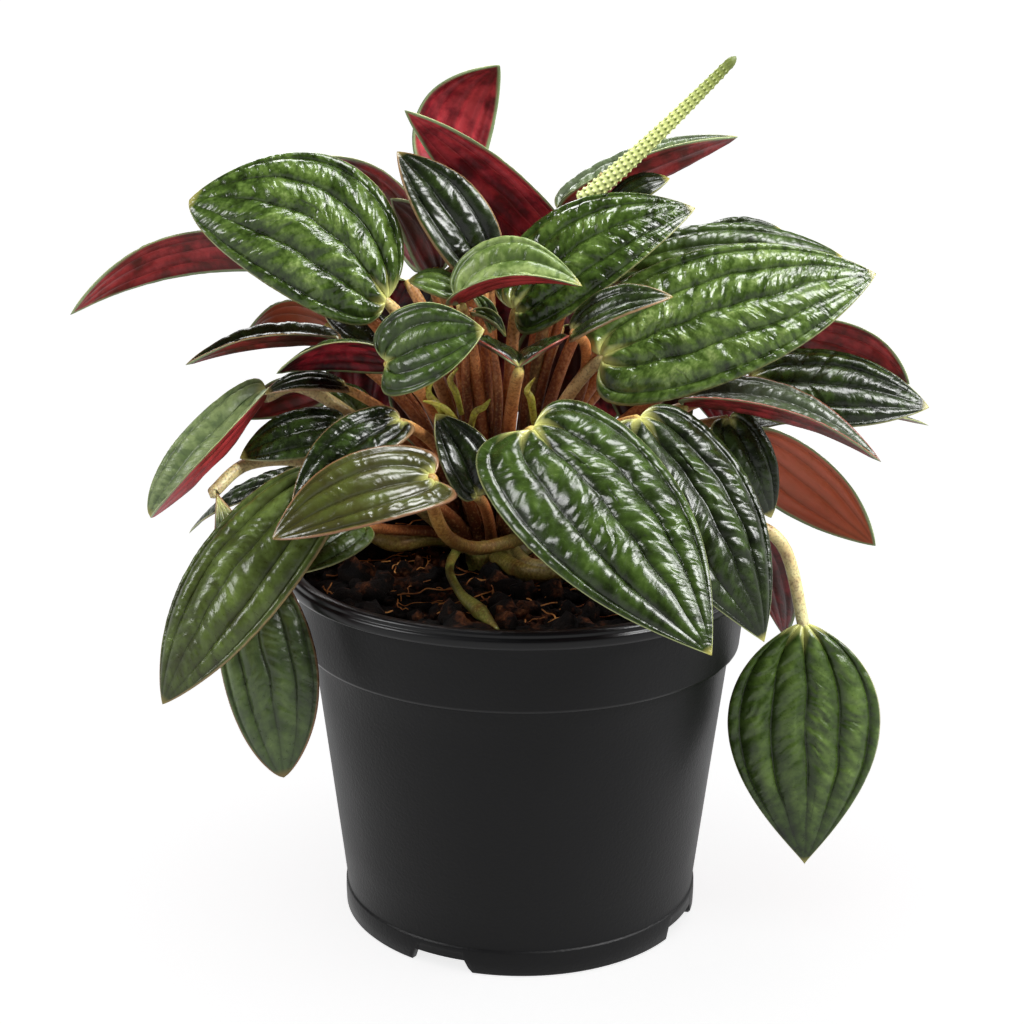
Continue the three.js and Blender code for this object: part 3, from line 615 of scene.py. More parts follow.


# %% [markdown]
# ## Leaf skins
#
# The upper skin is a thick waxy cuticle over green tissue: glossy, wrinkled in slanting clumps,
# with painted shade in the vein grooves and between the blisters, a pale star where the stalk joins
# and a thin pale margin. The
# underside is smooth and satin, coloured by red sap. Both colours come from noise in the blade's
# own millimetres, so patches keep their real size on every leaf. A photograph pasted on would do
# for one view only, and would bake one lamp's highlights in.

# %% Upper skin
# repeats per millimetre of blade, each from a real size; single cells are too fine to show
PATCHES = 0.14  # cloudy patches about 7 mm across
CELLS = 0.9  # groups of cells about 1 mm across
BLISTERS = 0.42  # domes 2.4 mm long
WRINKLES = 0.75  # folds 1.3 mm long
CLUMPS = 0.13  # groups of folds about 8 mm across
WAX_GRAIN = 2.4  # 0.4 mm
BLISTER_STRETCH = 0.5  # so that a dome is 5 mm wide
WRINKLE_STRETCH = 0.4  # so that a fold is 3.3 mm wide
STRAY = (0.3, (3.0, 3.0, 0.0))  # repeats per mm and amount in mm by which blisters stray


def leaf_coordinates(tree):
    """The blade's own millimetres, distances and habit, as sockets that a leaf skin reads."""
    place = add_node(tree, "Attribute", attribute_name="blade_mm").outputs["Vector"]
    named = {}
    for mark in ("marks_mm", "habit", "edge", "wax"):
        source = add_node(tree, "Attribute", attribute_name=mark).outputs["Vector"]
        named[mark] = add_node(tree, "SeparateXYZ", [source]).outputs
    return place, named


def upper_green(tree, place, marks, cells, blisters):
    """The colour of the upper side from the blade's middle to its margin and its tip."""
    to_vein, to_edge, to_stalk = marks["marks_mm"]
    tone, grey, _ = marks["habit"]
    blush, olive, to_tip = marks["edge"]

    # cloudy patches and lighter and darker cells, and painted shade: dark lines in the creases
    # between the blisters, and a darker green nearer the veins than on the ridge crests
    patches = add_node(tree, "TexNoise", {
        "Vector": place, "Scale": PATCHES, "Detail": 4.0, "Roughness": 0.55})
    cloud = add_node(tree, "MapRange", [patches, 0.3, 0.7, -0.15, 0.15])
    speck = add_node(tree, "MapRange", [cells, 0.35, 0.65, -0.11, 0.10])
    line = add_node(tree, "MapRange", [blisters, 0.4, 0.75, 0.03, -0.2])
    ridge_and_groove_shade = add_node(tree, "MapRange", [to_vein, 0.3, 3.0, -0.12, 0.05])
    small = add_node(tree, "Math", [speck, line], operation="ADD")
    level = add_node(tree, "Math", [cloud, tone], operation="ADD")
    level = add_node(tree, "Math", [ridge_and_groove_shade, level], operation="ADD")
    level = add_node(tree, "Math", [small, marks["wax"]["Y"], level], operation="MULTIPLY_ADD")
    green = add_node(tree, "ValToRGB", [level], [
        (0.0, "#070b03"), (1.0, "#7a8a52"), (0.25, "#151f06"), (0.5, "#2c3d13"), (0.75, "#4a5d29")])
    share = add_node(tree, "Math", [grey, 0.7], operation="MULTIPLY")
    washed = add_node(tree, "Mix", {0: share, 6: green, 7: "#66705a"}, data_type="RGBA")
    share = add_node(tree, "Math", [olive, 0.7], operation="MULTIPLY")
    warm = add_node(tree, "Mix", {0: share, 6: washed, 7: "#4b4420"}, data_type="RGBA")

    # the grooves are painted a darker green as shade, and the veins pale to a small star where the
    # stalk joins
    groove = add_node(tree, "MapRange", [to_vein, 0.0, 0.5, 0.35, 0.0])
    groove_shaded = add_node(tree, "Mix", {0: groove, 6: warm, 7: "#0c1404"}, data_type="RGBA")
    near_stalk = add_node(tree, "MapRange", [to_stalk, 1.2, 9.0, 1.0, 0.0])
    ray_width = add_node(tree, "Math", [near_stalk, 1.7, 0.15], operation="MULTIPLY_ADD")
    ray = add_node(tree, "MapRange", [to_vein, 0.1, ray_width, 1.0, 0.0])
    fading = add_node(tree, "Math", [near_stalk, 1.4], operation="POWER")
    star = add_node(tree, "Math", [ray, fading], operation="MULTIPLY")
    starred = add_node(tree, "Mix", {0: star, 6: groove_shaded, 7: "#c6c678"}, data_type="RGBA")

    # the margin is a thin pale line, or a wider one flushed red; the dry tip is yellow or brown
    margin_width = add_node(tree, "Math", [blush, 0.55, 0.32], operation="MULTIPLY_ADD")
    at_edge = add_node(tree, "MapRange", [to_edge, 0.1, margin_width, 1.0, 0.0])
    rim = add_node(tree, "Mix", {0: blush, 6: "#98a06c", 7: "#7d2029"}, data_type="RGBA")
    edged = add_node(tree, "Mix", {0: at_edge, 6: starred, 7: rim}, data_type="RGBA")
    at_tip = add_node(tree, "MapRange", [to_tip, 0.4, 2.2, 1.0, 0.0])
    point = add_node(tree, "Mix", {0: blush, 6: "#918c4a", 7: "#4a2618"}, data_type="RGBA")
    return add_node(tree, "Mix", {0: at_tip, 6: edged, 7: point}, data_type="RGBA")


def combed_places(tree, place, across):
    """The blade's millimetres, squeezed across it and sheared so that patterns slant to the tip."""
    x, y, z = add_node(tree, "SeparateXYZ", [place]).outputs
    away = add_node(tree, "Math", [x], operation="ABSOLUTE")
    shear = add_node(tree, "Math", [away, SLANT], operation="MULTIPLY")
    slanted = add_node(tree, "Math", [y, shear], operation="SUBTRACT")
    squeezed = add_node(tree, "Math", [x, across], operation="MULTIPLY")
    return add_node(tree, "CombineXYZ", [squeezed, slanted, z])


def upper_blisters(tree, place):
    """How far each point lies from the middle of its blister."""
    scale, amount = STRAY
    warp = add_node(tree, "TexNoise", {"Vector": place, "Scale": scale, "Detail": 2.0})
    strayed = add_node(tree, "VectorMath", [warp.outputs["Color"], amount, place],
                       operation="MULTIPLY_ADD")
    combed = combed_places(tree, strayed.outputs[0], BLISTER_STRETCH)
    return add_node(tree, "TexVoronoi", {
        "Vector": combed, "Scale": BLISTERS, "Smoothness": 0.25}, feature="SMOOTH_F1")


def upper_relief(tree, place, blisters, size):
    """The blisters with slanting wrinkles over them, in clumps, and a fine grain, as a bump."""
    combed = combed_places(tree, place, WRINKLE_STRETCH)
    folds = add_node(tree, "TexNoise", {
        "Vector": combed, "Scale": WRINKLES, "Detail": 1.5, "Distortion": 0.5})
    spread = add_node(tree, "TexNoise", {"Vector": place, "Scale": CLUMPS, "Detail": 1.0})
    clumps = add_node(tree, "MapRange", [spread, 0.42, 0.58, 0.3, 1.0])
    fine = add_node(tree, "TexNoise", {"Vector": place, "Scale": WAX_GRAIN, "Detail": 2.0})
    domes = add_node(tree, "Math", [blisters, -0.55], operation="MULTIPLY")
    height = add_node(tree, "Math", [folds, 0.45, domes], operation="MULTIPLY_ADD")
    height = add_node(tree, "Math", [height, clumps], operation="MULTIPLY")
    height = add_node(tree, "Math", [fine, 0.05, height], operation="MULTIPLY_ADD")
    height = add_node(tree, "Math", [height, size], operation="MULTIPLY")
    return add_node(tree, "Bump", {"Height": height, "Strength": 1.0, "Distance": 0.9 * MM})


def upper_skin():
    """Waxy cuticle over green tissue: broken white highlights, duller where the wax is matt."""
    material, tree = new_material("waxy_leaf_upper")
    place, marks = leaf_coordinates(tree)
    matt, wrinkled, _ = marks["wax"]
    cells = add_node(tree, "TexNoise", {
        "Vector": place, "Scale": CELLS, "Detail": 4.0, "Roughness": 0.6})
    blisters = upper_blisters(tree, place)
    uneven = add_node(tree, "MapRange", [cells, 0.3, 0.7, 0.09, 0.19])
    gloss = add_node(tree, "Math", [matt, 0.28, uneven], operation="MULTIPLY_ADD")
    wax = add_node(tree, "BsdfPrincipled", {
        "Base Color": upper_green(tree, place, marks, cells, blisters), "Roughness": gloss,
        "Normal": upper_relief(tree, place, blisters, wrinkled), "IOR": 1.45,
        "Specular IOR Level": 0.42})
    add_node(tree, "OutputMaterial", {"Surface": wax})
    return material


# %% Lower skin
UNDER_GRAIN = 1.3  # repeats per mm: a fine grain of 0.8 mm


def lower_skin():
    """Smooth cuticle over red sap: satin, with soft blotches, dark vein lines and a pale edge."""
    material, tree = new_material("satin_leaf_under")
    place, marks = leaf_coordinates(tree)
    to_vein, to_edge, _ = marks["marks_mm"]
    tone, _, rust = marks["habit"]
    patches = add_node(tree, "TexNoise", {
        "Vector": place, "Scale": PATCHES, "Detail": 5.0, "Roughness": 0.62})
    blotch = add_node(tree, "MapRange", [patches, 0.38, 0.62, -0.34, 0.3])
    level = add_node(tree, "Math", [blotch, tone], operation="ADD")
    wine = add_node(tree, "ValToRGB", [level], [
        (0.0, "#1e0508"), (1.0, "#b8373f"), (0.3, "#500d15"), (0.6, "#871a27")])
    red = add_node(tree, "Mix", {0: rust, 6: wine, 7: "#b8623f"}, data_type="RGBA")
    groove = add_node(tree, "MapRange", [to_vein, 0.0, 0.7, 0.35, 0.0])
    veined = add_node(tree, "Mix", {0: groove, 6: red, 7: "#2a060a"}, data_type="RGBA")
    at_edge = add_node(tree, "MapRange", [to_edge, 0.5, 1.1, 1.0, 0.0])
    colour = add_node(tree, "Mix", {0: at_edge, 6: veined, 7: "#7f8f66"}, data_type="RGBA")
    fine = add_node(tree, "TexNoise", {"Vector": place, "Scale": UNDER_GRAIN, "Detail": 4.0})
    bump = add_node(tree, "Bump", {"Height": fine, "Strength": 0.8, "Distance": 0.16 * MM})
    satin = add_node(tree, "BsdfPrincipled", {
        "Base Color": colour, "Roughness": 0.45, "Normal": bump, "IOR": 1.4})
    add_node(tree, "OutputMaterial", {"Surface": satin})
    return material


UPPER_SKIN = upper_skin()
LOWER_SKIN = lower_skin()

# %% Leaves
leaf_points = 0
for number, leaf in enumerate(LEAVES + YOUNG_LEAVES):
    points, faces, is_under, marks = blade_mesh(leaf, number + 1)
    stands_for = [leaf["name"]] if leaf in LEAVES else []
    make_piece(leaf["name"].replace("leaf_", "blade_"), points, faces,
               [UPPER_SKIN, LOWER_SKIN], stands_for, marks, is_under)
    leaf_points += len(points)
print("points in all blades:", leaf_points)

# %% [markdown]
# ## Stalks and crown
#
# A peperomia stalk is a fleshy rod, translucent and finely speckled with red-brown cells, paler
# and greener just below the blade. All of them rise from a few short thick stems that stand in the
# soil. Each follows the same curve as its plain solid and tapers towards the leaf. Young shoots
# between them and a folded bud on the soil are the same kind of rod, with their own radii.

# %% Stalk curves
# sizes and heights in mm
CROWN_CENTRE = np.array([-6.0, 14.0])
CROWN_STEMS = 6  # in a ring round one more
CROWN_RING = 9.0
CROWN_FOOT_RING = 0.6  # as a share of the ring at the top
CROWN_STEM_RADIUS = 5.0
CROWN_STEM_TAPER = 0.85
CROWN_STEM_RINGS = 8
CROWN_STEM_SIDES = 16
CROWN_FOOT = 76.0
CROWN_TOP = 95.0
CROWN_GREEN = 0.7  # how green the stems are
ROOT_HEIGHT = 94.0
ROOT_SPREAD = (11.0, 5.0)  # how far out the lowest and the highest leaves' stalks stand
LEAF_HEIGHTS = (100.0, 180.0)
KNEE = (0.25, 0.7)  # share of the way outwards and upwards of the point that a stalk bends to
STALK_RADIUS = 1.8
STALK_TAPER = ((0, 0.15, 0.9, 1), (1.2, 1.0, 0.85, 0.55))  # shares of the way and of the radius
STALK_SIDES = 14
STALK_RINGS = 22
STALK_TOP = 0.6  # below the blade's base
STALK_POINT = (0.15, 0.8)  # below the base and along the blade, where the stalk runs into it

SHOOT_GREEN = 1.3  # how green a young shoot is; 1 is a green stalk
# points, radii from one end to the other and how green each is: two thick stems and a folded bud
# that lie on the soil, and five young shoots between the stalks
SMALL_STEMS = [
    (((-8, 10, 93), (-22, 8, 96), (-33, 3, 96), (-43, 12, 99)), (2.4, 2.3, 2.2, 2.0), 0.75),
    (((-9, 12, 92), (-3, -2.6, 92), (4, -10.6, 92.5), (17, -15, 95)), (2.6, 2.5, 2.4, 2.2), 0.8),
    (((-16, 8, 94), (-18, -10, 93.5), (-15, -26, 92.5), (-10, -40, 92.5), (-5.5, -51, 92)),
     (1.3, 1.1, 1.1, 2.0, 0.3), 1.0),
    (((-17, -8, 128), (-20, -12, 134.8), (-22.9, -12, 138.8), (-20.7, -12, 143.2)),
     (0.8, 1.0, 0.9, 0.2), SHOOT_GREEN),
    (((-15, -6, 132), (-16.3, -8, 137.7), (-17.7, -8, 140.9), (-15.8, -8, 143.9)),
     (0.7, 0.9, 0.8, 0.2), SHOOT_GREEN),
    (((-15, -12, 130), (-18.3, -14, 134.8), (-21.4, -14, 136.5), (-24, -14, 137)),
     (0.7, 0.8, 0.7, 0.2), SHOOT_GREEN),
    (((-13, -10, 128), (-11.6, -12, 133.6), (-9.4, -12, 135.1), (-7.9, -12, 137.1)),
     (0.7, 0.9, 0.8, 0.2), SHOOT_GREEN),
    (((3, 0, 128), (2.1, -4, 135.1), (1.1, -4, 137.6), (3, -4, 140.6)),
     (0.8, 1.0, 0.8, 0.2), SHOOT_GREEN),
]


def stalk_line(leaf):
    """The stalk's middle: through its row's own points, or one bend from the crown to the blade."""
    base, along, up = blade_axes(leaf)[:3]
    top = base - up * STALK_TOP
    end = base - up * STALK_POINT[0] + along * STALK_POINT[1]
    if leaf["stalk"]:
        return smooth_line([*leaf["stalk"], top, end], 7)
    outward = base[:2] - CROWN_CENTRE
    level = (base[2] - LEAF_HEIGHTS[0]) / (LEAF_HEIGHTS[1] - LEAF_HEIGHTS[0])
    spread = ROOT_SPREAD[0] + (ROOT_SPREAD[1] - ROOT_SPREAD[0]) * level
    foot = CROWN_CENTRE + unit(outward) * spread
    lean = foot + KNEE[0] * (base[:2] - foot)
    knee = np.array([*lean, ROOT_HEIGHT + KNEE[1] * (base[2] - ROOT_HEIGHT)])
    root = np.array([*foot, ROOT_HEIGHT])
    s = np.linspace(0, 1, STALK_RINGS)[:, None]
    return np.vstack([(1 - s) ** 2 * root + 2 * s * (1 - s) * knee + s * s * top, [end]])


# %% Stalk skin
# repeats per metre, because object coordinates are metres
SPECKLES = 1500.0  # dots 0.7 mm across, coarser than the real ones so that they show
STAINS = 200.0  # 5 mm long


def stalk_skin():
    """Fleshy and a little translucent: brown at the foot, paler upwards, with red-brown dots."""
    material, tree = new_material("fleshy_stalk_skin")
    mark = add_node(tree, "Attribute", attribute_name="stalk").outputs["Vector"]
    share, cream, leafy = add_node(tree, "SeparateXYZ", [mark]).outputs
    skin = add_node(tree, "ValToRGB", [share], [
        (0.0, "#1c0e05"), (1.0, "#b8b25f"), (0.3, "#6a3a1c"), (0.6, "#b46c3c"), (0.9, "#c08f56")])
    pale = add_node(tree, "ValToRGB", [share], [
        (0.0, "#6d6a30"), (1.0, "#d6d8a2"), (0.6, "#c3b37d")])
    chosen = add_node(tree, "Mix", {0: cream, 6: skin, 7: pale}, data_type="RGBA")
    half_green = add_node(tree, "Mix", {0: leafy, 6: chosen, 7: "#6e7430"}, data_type="RGBA")
    young = add_node(tree, "MapRange", [leafy, 1.0, 1.3, 0.0, 1.0])
    green = add_node(tree, "Mix", {0: young, 6: half_green, 7: "#a5a53a"}, data_type="RGBA")
    place = add_node(tree, "TexCoord").outputs["Object"]
    dots = add_node(tree, "TexNoise", {"Vector": place, "Scale": SPECKLES, "Detail": 2.0})
    stains = add_node(tree, "TexNoise", {"Vector": place, "Scale": STAINS, "Detail": 3.0})
    stain = add_node(tree, "MapRange", [stains, 0.45, 0.65, 0.0, 0.45])
    stained = add_node(tree, "Mix", {0: stain, 6: green, 7: "#6e3018"}, data_type="RGBA")
    dot = add_node(tree, "MapRange", [dots, 0.5, 0.64, 0.0, 0.5])
    dotted = add_node(tree, "Mix", {0: dot, 6: stained, 7: "#532511"}, data_type="RGBA")
    pale_dot = add_node(tree, "MapRange", [dots, 0.34, 0.46, 0.25, 0.0])
    speckled = add_node(tree, "Mix", {0: pale_dot, 6: dotted, 7: "#d0a670"}, data_type="RGBA")
    bump = add_node(tree, "Bump", {"Height": dots, "Strength": 0.5, "Distance": 0.18 * MM})
    flesh = add_node(tree, "BsdfPrincipled", {
        "Base Color": speckled, "Roughness": 0.42, "Normal": bump, "IOR": 1.4,
        "Subsurface Weight": 0.15, "Subsurface Radius": (0.6 * MM, 0.3 * MM, 0.15 * MM)})
    add_node(tree, "OutputMaterial", {"Surface": flesh})
    return material


STALK_SKIN = stalk_skin()

# %% Stalks
parts, stalk_marks = [], []
for leaf in LEAVES + YOUNG_LEAVES:
    line = stalk_line(leaf)
    radii = STALK_RADIUS * np.interp(np.linspace(0, 1, len(line)), *STALK_TAPER)
    slimness = min(1, 0.55 + leaf["width"] / 50)  # a small leaf has a thinner stalk
    points, faces, shares = tube(line, radii * slimness, STALK_SIDES)
    parts.append((points, faces))
    stalk_marks.append(marks_of(shares, leaf["cream"], leaf["leafy"]))
for i in range(CROWN_STEMS + 1):
    angle = 2 * math.pi * i / CROWN_STEMS
    ring = CROWN_RING if i < CROWN_STEMS else 0
    heading = np.array([math.cos(angle), math.sin(angle)]) * ring
    foot = [*(CROWN_CENTRE + CROWN_FOOT_RING * heading), CROWN_FOOT]
    head = [*(CROWN_CENTRE + heading), CROWN_TOP]
    line = np.linspace(foot, head, CROWN_STEM_RINGS)
    radii = CROWN_STEM_RADIUS * np.linspace(1, CROWN_STEM_TAPER, CROWN_STEM_RINGS)
    points, faces, shares = tube(line, radii, CROWN_STEM_SIDES)
    parts.append((points, faces))
    stalk_marks.append(marks_of(0 * shares, 0, CROWN_GREEN))
for line, radii, leafy in SMALL_STEMS:
    line = smooth_line(line, 8)
    spots = np.linspace(0, 1, len(line))
    radii = np.interp(spots, np.linspace(0, 1, len(radii)), radii)
    points, faces, shares = tube(line, radii, STALK_SIDES)
    parts.append((points, faces))
    stalk_marks.append(marks_of(shares, 0, leafy))
crown_points, crown_faces = joined(parts)
make_piece("crown_stalks", crown_points, crown_faces, [STALK_SKIN], ["crown"],
           {"stalk": np.vstack(stalk_marks)})
print("stalks:", len(LEAVES + YOUNG_LEAVES), "stems:", CROWN_STEMS + 1)

# %% [markdown]
# ## The flower spike
#
# The spike is a fleshy rod packed with tiny flowers, each a pointed green bump, in staggered rows.
# It is one tapering surface whose radius follows a lattice of bumps, so that the rows stay even
# from the stalk almost to the blunt tip. The pits between the flowers are not cut in: painted shade
# darkens them, and a painted highlight lightens the top of each bump.

# %% Spike
SPIKE_LINE = ((14.5, 13.3, 181.5), (30, 11.5, 194.5), (51, 9, 217))
SPIKE_STALK = ((0, 16, 92), (3, 18, 135), (10, 14, 168), (19, 13, 186), (19.6, 13, 187.6))
# sizes in mm
SPIKE_RADII = (2.2, 1.15)
SPIKE_TAPER = 1.3  # exponent: the spike narrows more towards its tip
SPIKE_RINGS = 220
SPIKE_SIDES = 72
SPIKE_STALK_RADIUS = 1.4
SPIKE_STALK_TAPER = (1.15, 0.9)
BUMP_HEIGHT = 0.55
BUMPS_ROUND = 9
BUMP_PITCH = 1.65  # from row to row
BUMP_REACH = 0.34  # radius of a flower's bump, in pitches
PIT_REACH = 0.17  # radius of the painted shade in the middle of a pit, in pitches
NARROWING = 1.05  # how much less bumps and pits reach round the spike than along it
SMOOTH_END = (0.99, 0.06)  # share of the way where bumps end, and over which they fade


def spike_skin():
    """A soft pale cuticle, greener to the tip; painted shade in the pits and painted highlights on
    bumps.
    """
    material, tree = new_material("spike_flowers")
    mark = add_node(tree, "Attribute", attribute_name="spike").outputs["Vector"]
    share, knob, pit = add_node(tree, "SeparateXYZ", [mark]).outputs
    green = add_node(tree, "ValToRGB", [share], [
        (0.0, "#cfd88e"), (1.0, "#4f5a28"), (0.65, "#c3cc7c"), (0.9, "#808c42")])
    # painted shade in the pits between the flowers
    pit_shaded = add_node(tree, "Mix", {0: pit, 6: green, 7: "#4f5c14"}, data_type="RGBA")
    # painted highlight on the top of each flower's bump
    bump_highlight = add_node(tree, "MapRange", [knob, 0.3, 1.0, 0.0, 0.8])
    highlighted = add_node(tree, "Mix", {0: bump_highlight, 6: pit_shaded, 7: "#e4e9b4"}, data_type="RGBA")
    cuticle = add_node(tree, "BsdfPrincipled", {"Base Color": highlighted, "Roughness": 0.5, "IOR": 1.4})
    add_node(tree, "OutputMaterial", {"Surface": cuticle})
    return material


def spike_mesh():
    """The spike's points and faces, and how near each point is to a flower's tip and to a pit."""
    start, bend, end = (np.array(p, float) for p in SPIKE_LINE)
    s = np.linspace(0, 1, SPIKE_RINGS)
    rising, bending, ending = ((1 - s) ** 2)[:, None], (2 * (s * (1 - s)))[:, None], (s * s)[:, None]
    line = rising * start + bending * bend + ending * end
    steps = np.linalg.norm(np.diff(line, axis=0), axis=1)
    along = np.concatenate([[0], np.cumsum(steps)])
    taper = SPIKE_RADII[0] + (SPIKE_RADII[1] - SPIKE_RADII[0]) * s ** SPIKE_TAPER
    taper = taper * np.sqrt(np.clip((1 - s) * 40, 0.02, 1))  # the last fortieth is rounded off
    points, faces, shares = tube(line, taper, SPIKE_SIDES)
    ring_points = points[1:-1].reshape(SPIKE_RINGS, SPIKE_SIDES, 3)
    column = np.arange(SPIKE_SIDES) / SPIKE_SIDES * BUMPS_ROUND
    row = along[:, None] / BUMP_PITCH
    skew = np.floor(row) % 2 * 0.5
    du = (column[None, :] + skew) % 1 - 0.5
    dw = row % 1 - 0.5
    smooth_tip = np.clip((SMOOTH_END[0] - s) / SMOOTH_END[1], 0, 1)[:, None]
    pit = np.clip(2.0 - np.hypot(du * NARROWING, dw) / PIT_REACH, 0, 1) * smooth_tip
    between = np.hypot((np.abs(du) - 0.5) * NARROWING, dw)
    knob = np.clip(1 - between / BUMP_REACH, 0, 1) * smooth_tip
    outward = unit(ring_points - line[:, None, :])
    bump = BUMP_HEIGHT * knob * (taper / SPIKE_RADII[0])[:, None]
    points[1:-1] = (ring_points + outward * bump[..., None]).reshape(-1, 3)
    knobs, pits = [np.concatenate([[0], mark.ravel(), [0]]) for mark in (knob, pit)]
    return points, faces, marks_of(shares, knobs, pits)


points, faces, marks = spike_mesh()
make_piece("spike", points, faces, [spike_skin()], ["flower_spike"], {"spike": marks})
line = smooth_line(SPIKE_STALK, 8)
radii = SPIKE_STALK_RADIUS * np.linspace(*SPIKE_STALK_TAPER, len(line))
points, faces, shares = tube(line, radii, STALK_SIDES)
marks = marks_of(shares, 0.3, 0.6 * shares)  # a little cream, and greener upwards
make_piece("spike_stalk", points, faces, [STALK_SKIN], [], {"stalk": marks})
print("flowers round the spike:", BUMPS_ROUND)

# %% [markdown]
# ## Soil
#
# Potting mix is dark moist peat with crumbs, bits of bark and orange-brown root fibres. The bed is
# one displaced disc over the shape of the filled pot; crumbs are rough little stones of several
# sizes, scattered with a fixed seed, and the fibres are thin bent tubes.

# %% Soil bed
# sizes and heights in mm
SOIL_TOP = 89.0
SOIL_RADIUS = 54.6
SOIL_RINGS = 90
SOIL_SPOKES = 240
SOIL_FOOT = 70.0
SOIL_TAPER = 0.93  # radius of the foot, as a share of the radius at the top
SOIL_MIDDLE = 0.004  # the smallest ring, as a share of the radius
SOIL_WAVES = 1.1
SOIL_LUMPS = ((1.1, 0.22, 3), (0.7, 0.6, 4), (0.35, 1.4, 5))  # height, lumps per mm, seed


def soil_height(x, y):
    """Height of the broad waves of the bed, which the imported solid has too."""
    coarse = np.sin(0.19 * x + 1.3) * np.cos(0.23 * y - 0.4)
    fine = np.sin(0.61 * x + 0.35 * y) * np.cos(0.53 * y - 0.27 * x)
    return SOIL_TOP + SOIL_WAVES * (0.65 * coarse + 0.35 * fine)


# repeats per metre
CRUMB_TEXTURE = 330.0  # crumbs of 3 mm
PEAT_GRAIN = 2000.0  # 0.5 mm
DRY_PATCHES = 95.0  # 10 mm across


def peat_skin():
    """Moist peat: almost black and matte, with brown where crumbs have dried."""
    material, tree = new_material("moist_peat")
    place = add_node(tree, "TexCoord").outputs["Object"]
    crumbs = add_node(tree, "TexNoise", {
        "Vector": place, "Scale": CRUMB_TEXTURE, "Detail": 6.0, "Roughness": 0.7})
    grains = add_node(tree, "TexNoise", {"Vector": place, "Scale": PEAT_GRAIN, "Detail": 2.0})
    patches = add_node(tree, "TexNoise", {"Vector": place, "Scale": DRY_PATCHES, "Detail": 2.0})
    dry = add_node(tree, "MapRange", [patches, 0.48, 0.62, 0.0, 0.2])
    level = add_node(tree, "Math", [crumbs, dry], operation="ADD")
    brown = add_node(tree, "ValToRGB", [level], [
        (0.42, "#020101"), (0.9, "#8f5a35"), (0.6, "#110804"), (0.72, "#4a2814")])
    height = add_node(tree, "Math", [grains, 0.4, crumbs], operation="MULTIPLY_ADD")
    bump = add_node(tree, "Bump", {"Height": height, "Strength": 1.0, "Distance": 1.4 * MM})
    peat = add_node(tree, "BsdfPrincipled", {
        "Base Color": brown, "Roughness": 0.85, "Normal": bump, "IOR": 1.4,
        "Specular IOR Level": 0.25})
    add_node(tree, "OutputMaterial", {"Surface": peat})
    return material


PEAT = peat_skin()
radius, spoke = np.meshgrid(np.linspace(SOIL_MIDDLE, 1, SOIL_RINGS) * SOIL_RADIUS,
                            np.linspace(0, 2 * np.pi, SOIL_SPOKES, endpoint=False), indexing="ij")
x, y = (radius * np.cos(spoke)).ravel(), (radius * np.sin(spoke)).ravel()
bed = np.stack([x, y, soil_height(x, y)], -1)
bed[:, 2] += sum(height * grain(bed, scale, seed) for height, scale, seed in SOIL_LUMPS)
foot = bed[-SOIL_SPOKES:] * (SOIL_TAPER, SOIL_TAPER, 0) + (0, 0, SOIL_FOOT)
points = np.vstack([[[0, 0, bed[:SOIL_SPOKES, 2].mean()]], bed, foot, [[0, 0, SOIL_FOOT]]])
faces = ring_faces(SOIL_RINGS + 1, SOIL_SPOKES, downward=True)
make_piece("soil_bed", points, faces, [PEAT], ["soil"])
print("soil points:", len(points))

# %% Crumbs and fibres
rng = np.random.default_rng(7)
# sizes in mm
CRUMB_COUNT = 620
CRUMB_MARGIN = 3  # to the edge of the bed
CRUMB_RINGS = 5
CRUMB_SIDES = 10
CRUMB_SIZES = (0.7, 4.2)  # radius of the smallest, and what a large one has more
CRUMB_FLATNESS = (1, 1, 0.75)
CRUMB_LUMPS = (0.55, 1.9)  # amount, and lumps per radius
CRUMB_STANDING = 0.3  # how far the middle stands over the bed, as a share of the radius
FIBRE_COUNT = 130
FIBRE_MARGIN = 5
FIBRE_STEPS = 8
FIBRE_LENGTHS = (5, 22)
FIBRE_LIFTS = (0.4, 1.6)
FIBRE_RADII = (0.1, 0.2)
FIBRE_SIDES = 6
FIBRE_WAVES = 0.8
FIBRE_BEND = 0.22  # radians in a step


def scattered(margin):
    """A random place on the bed, at least margin inside its edge."""
    angle = rng.uniform(0, 2 * math.pi)
    reach = (SOIL_RADIUS - margin) * math.sqrt(rng.uniform(0, 1))
    return reach * math.cos(angle), reach * math.sin(angle)


def crumb(centre, size, seed):
    """A rough angular lump: a small sphere whose points are pushed in and out."""
    polar, turn = np.meshgrid(np.linspace(0, np.pi, CRUMB_RINGS + 2)[1:-1],
                              np.linspace(0, 2 * np.pi, CRUMB_SIDES, endpoint=False), indexing="ij")
    shell = np.stack([np.sin(polar) * np.cos(turn), np.sin(polar) * np.sin(turn), np.cos(polar)], -1)
    shell = np.vstack([[[0, 0, 1]], shell.reshape(-1, 3), [[0, 0, -1]]])
    amount, scale = CRUMB_LUMPS
    shell = shell * (1 + amount * grain(shell, scale, seed))[:, None]
    return centre + shell * size, ring_faces(CRUMB_RINGS, CRUMB_SIDES, downward=True)


parts = []
for i in range(CRUMB_COUNT):
    x, y = scattered(CRUMB_MARGIN)
    size = CRUMB_SIZES[0] + CRUMB_SIZES[1] * rng.uniform(0, 1) ** 4  # so that most are small
    centre = np.array([x, y, float(soil_height(x, y)) + CRUMB_STANDING * size])
    parts.append(crumb(centre, size * rng.uniform(0.55, 1.25, 3) * CRUMB_FLATNESS, i))
points, faces = joined(parts)
make_piece("soil_crumbs", points, faces, [PEAT])


FIBRE_SHADES = 90.0  # repeats per metre: a fibre's colour changes over 11 mm


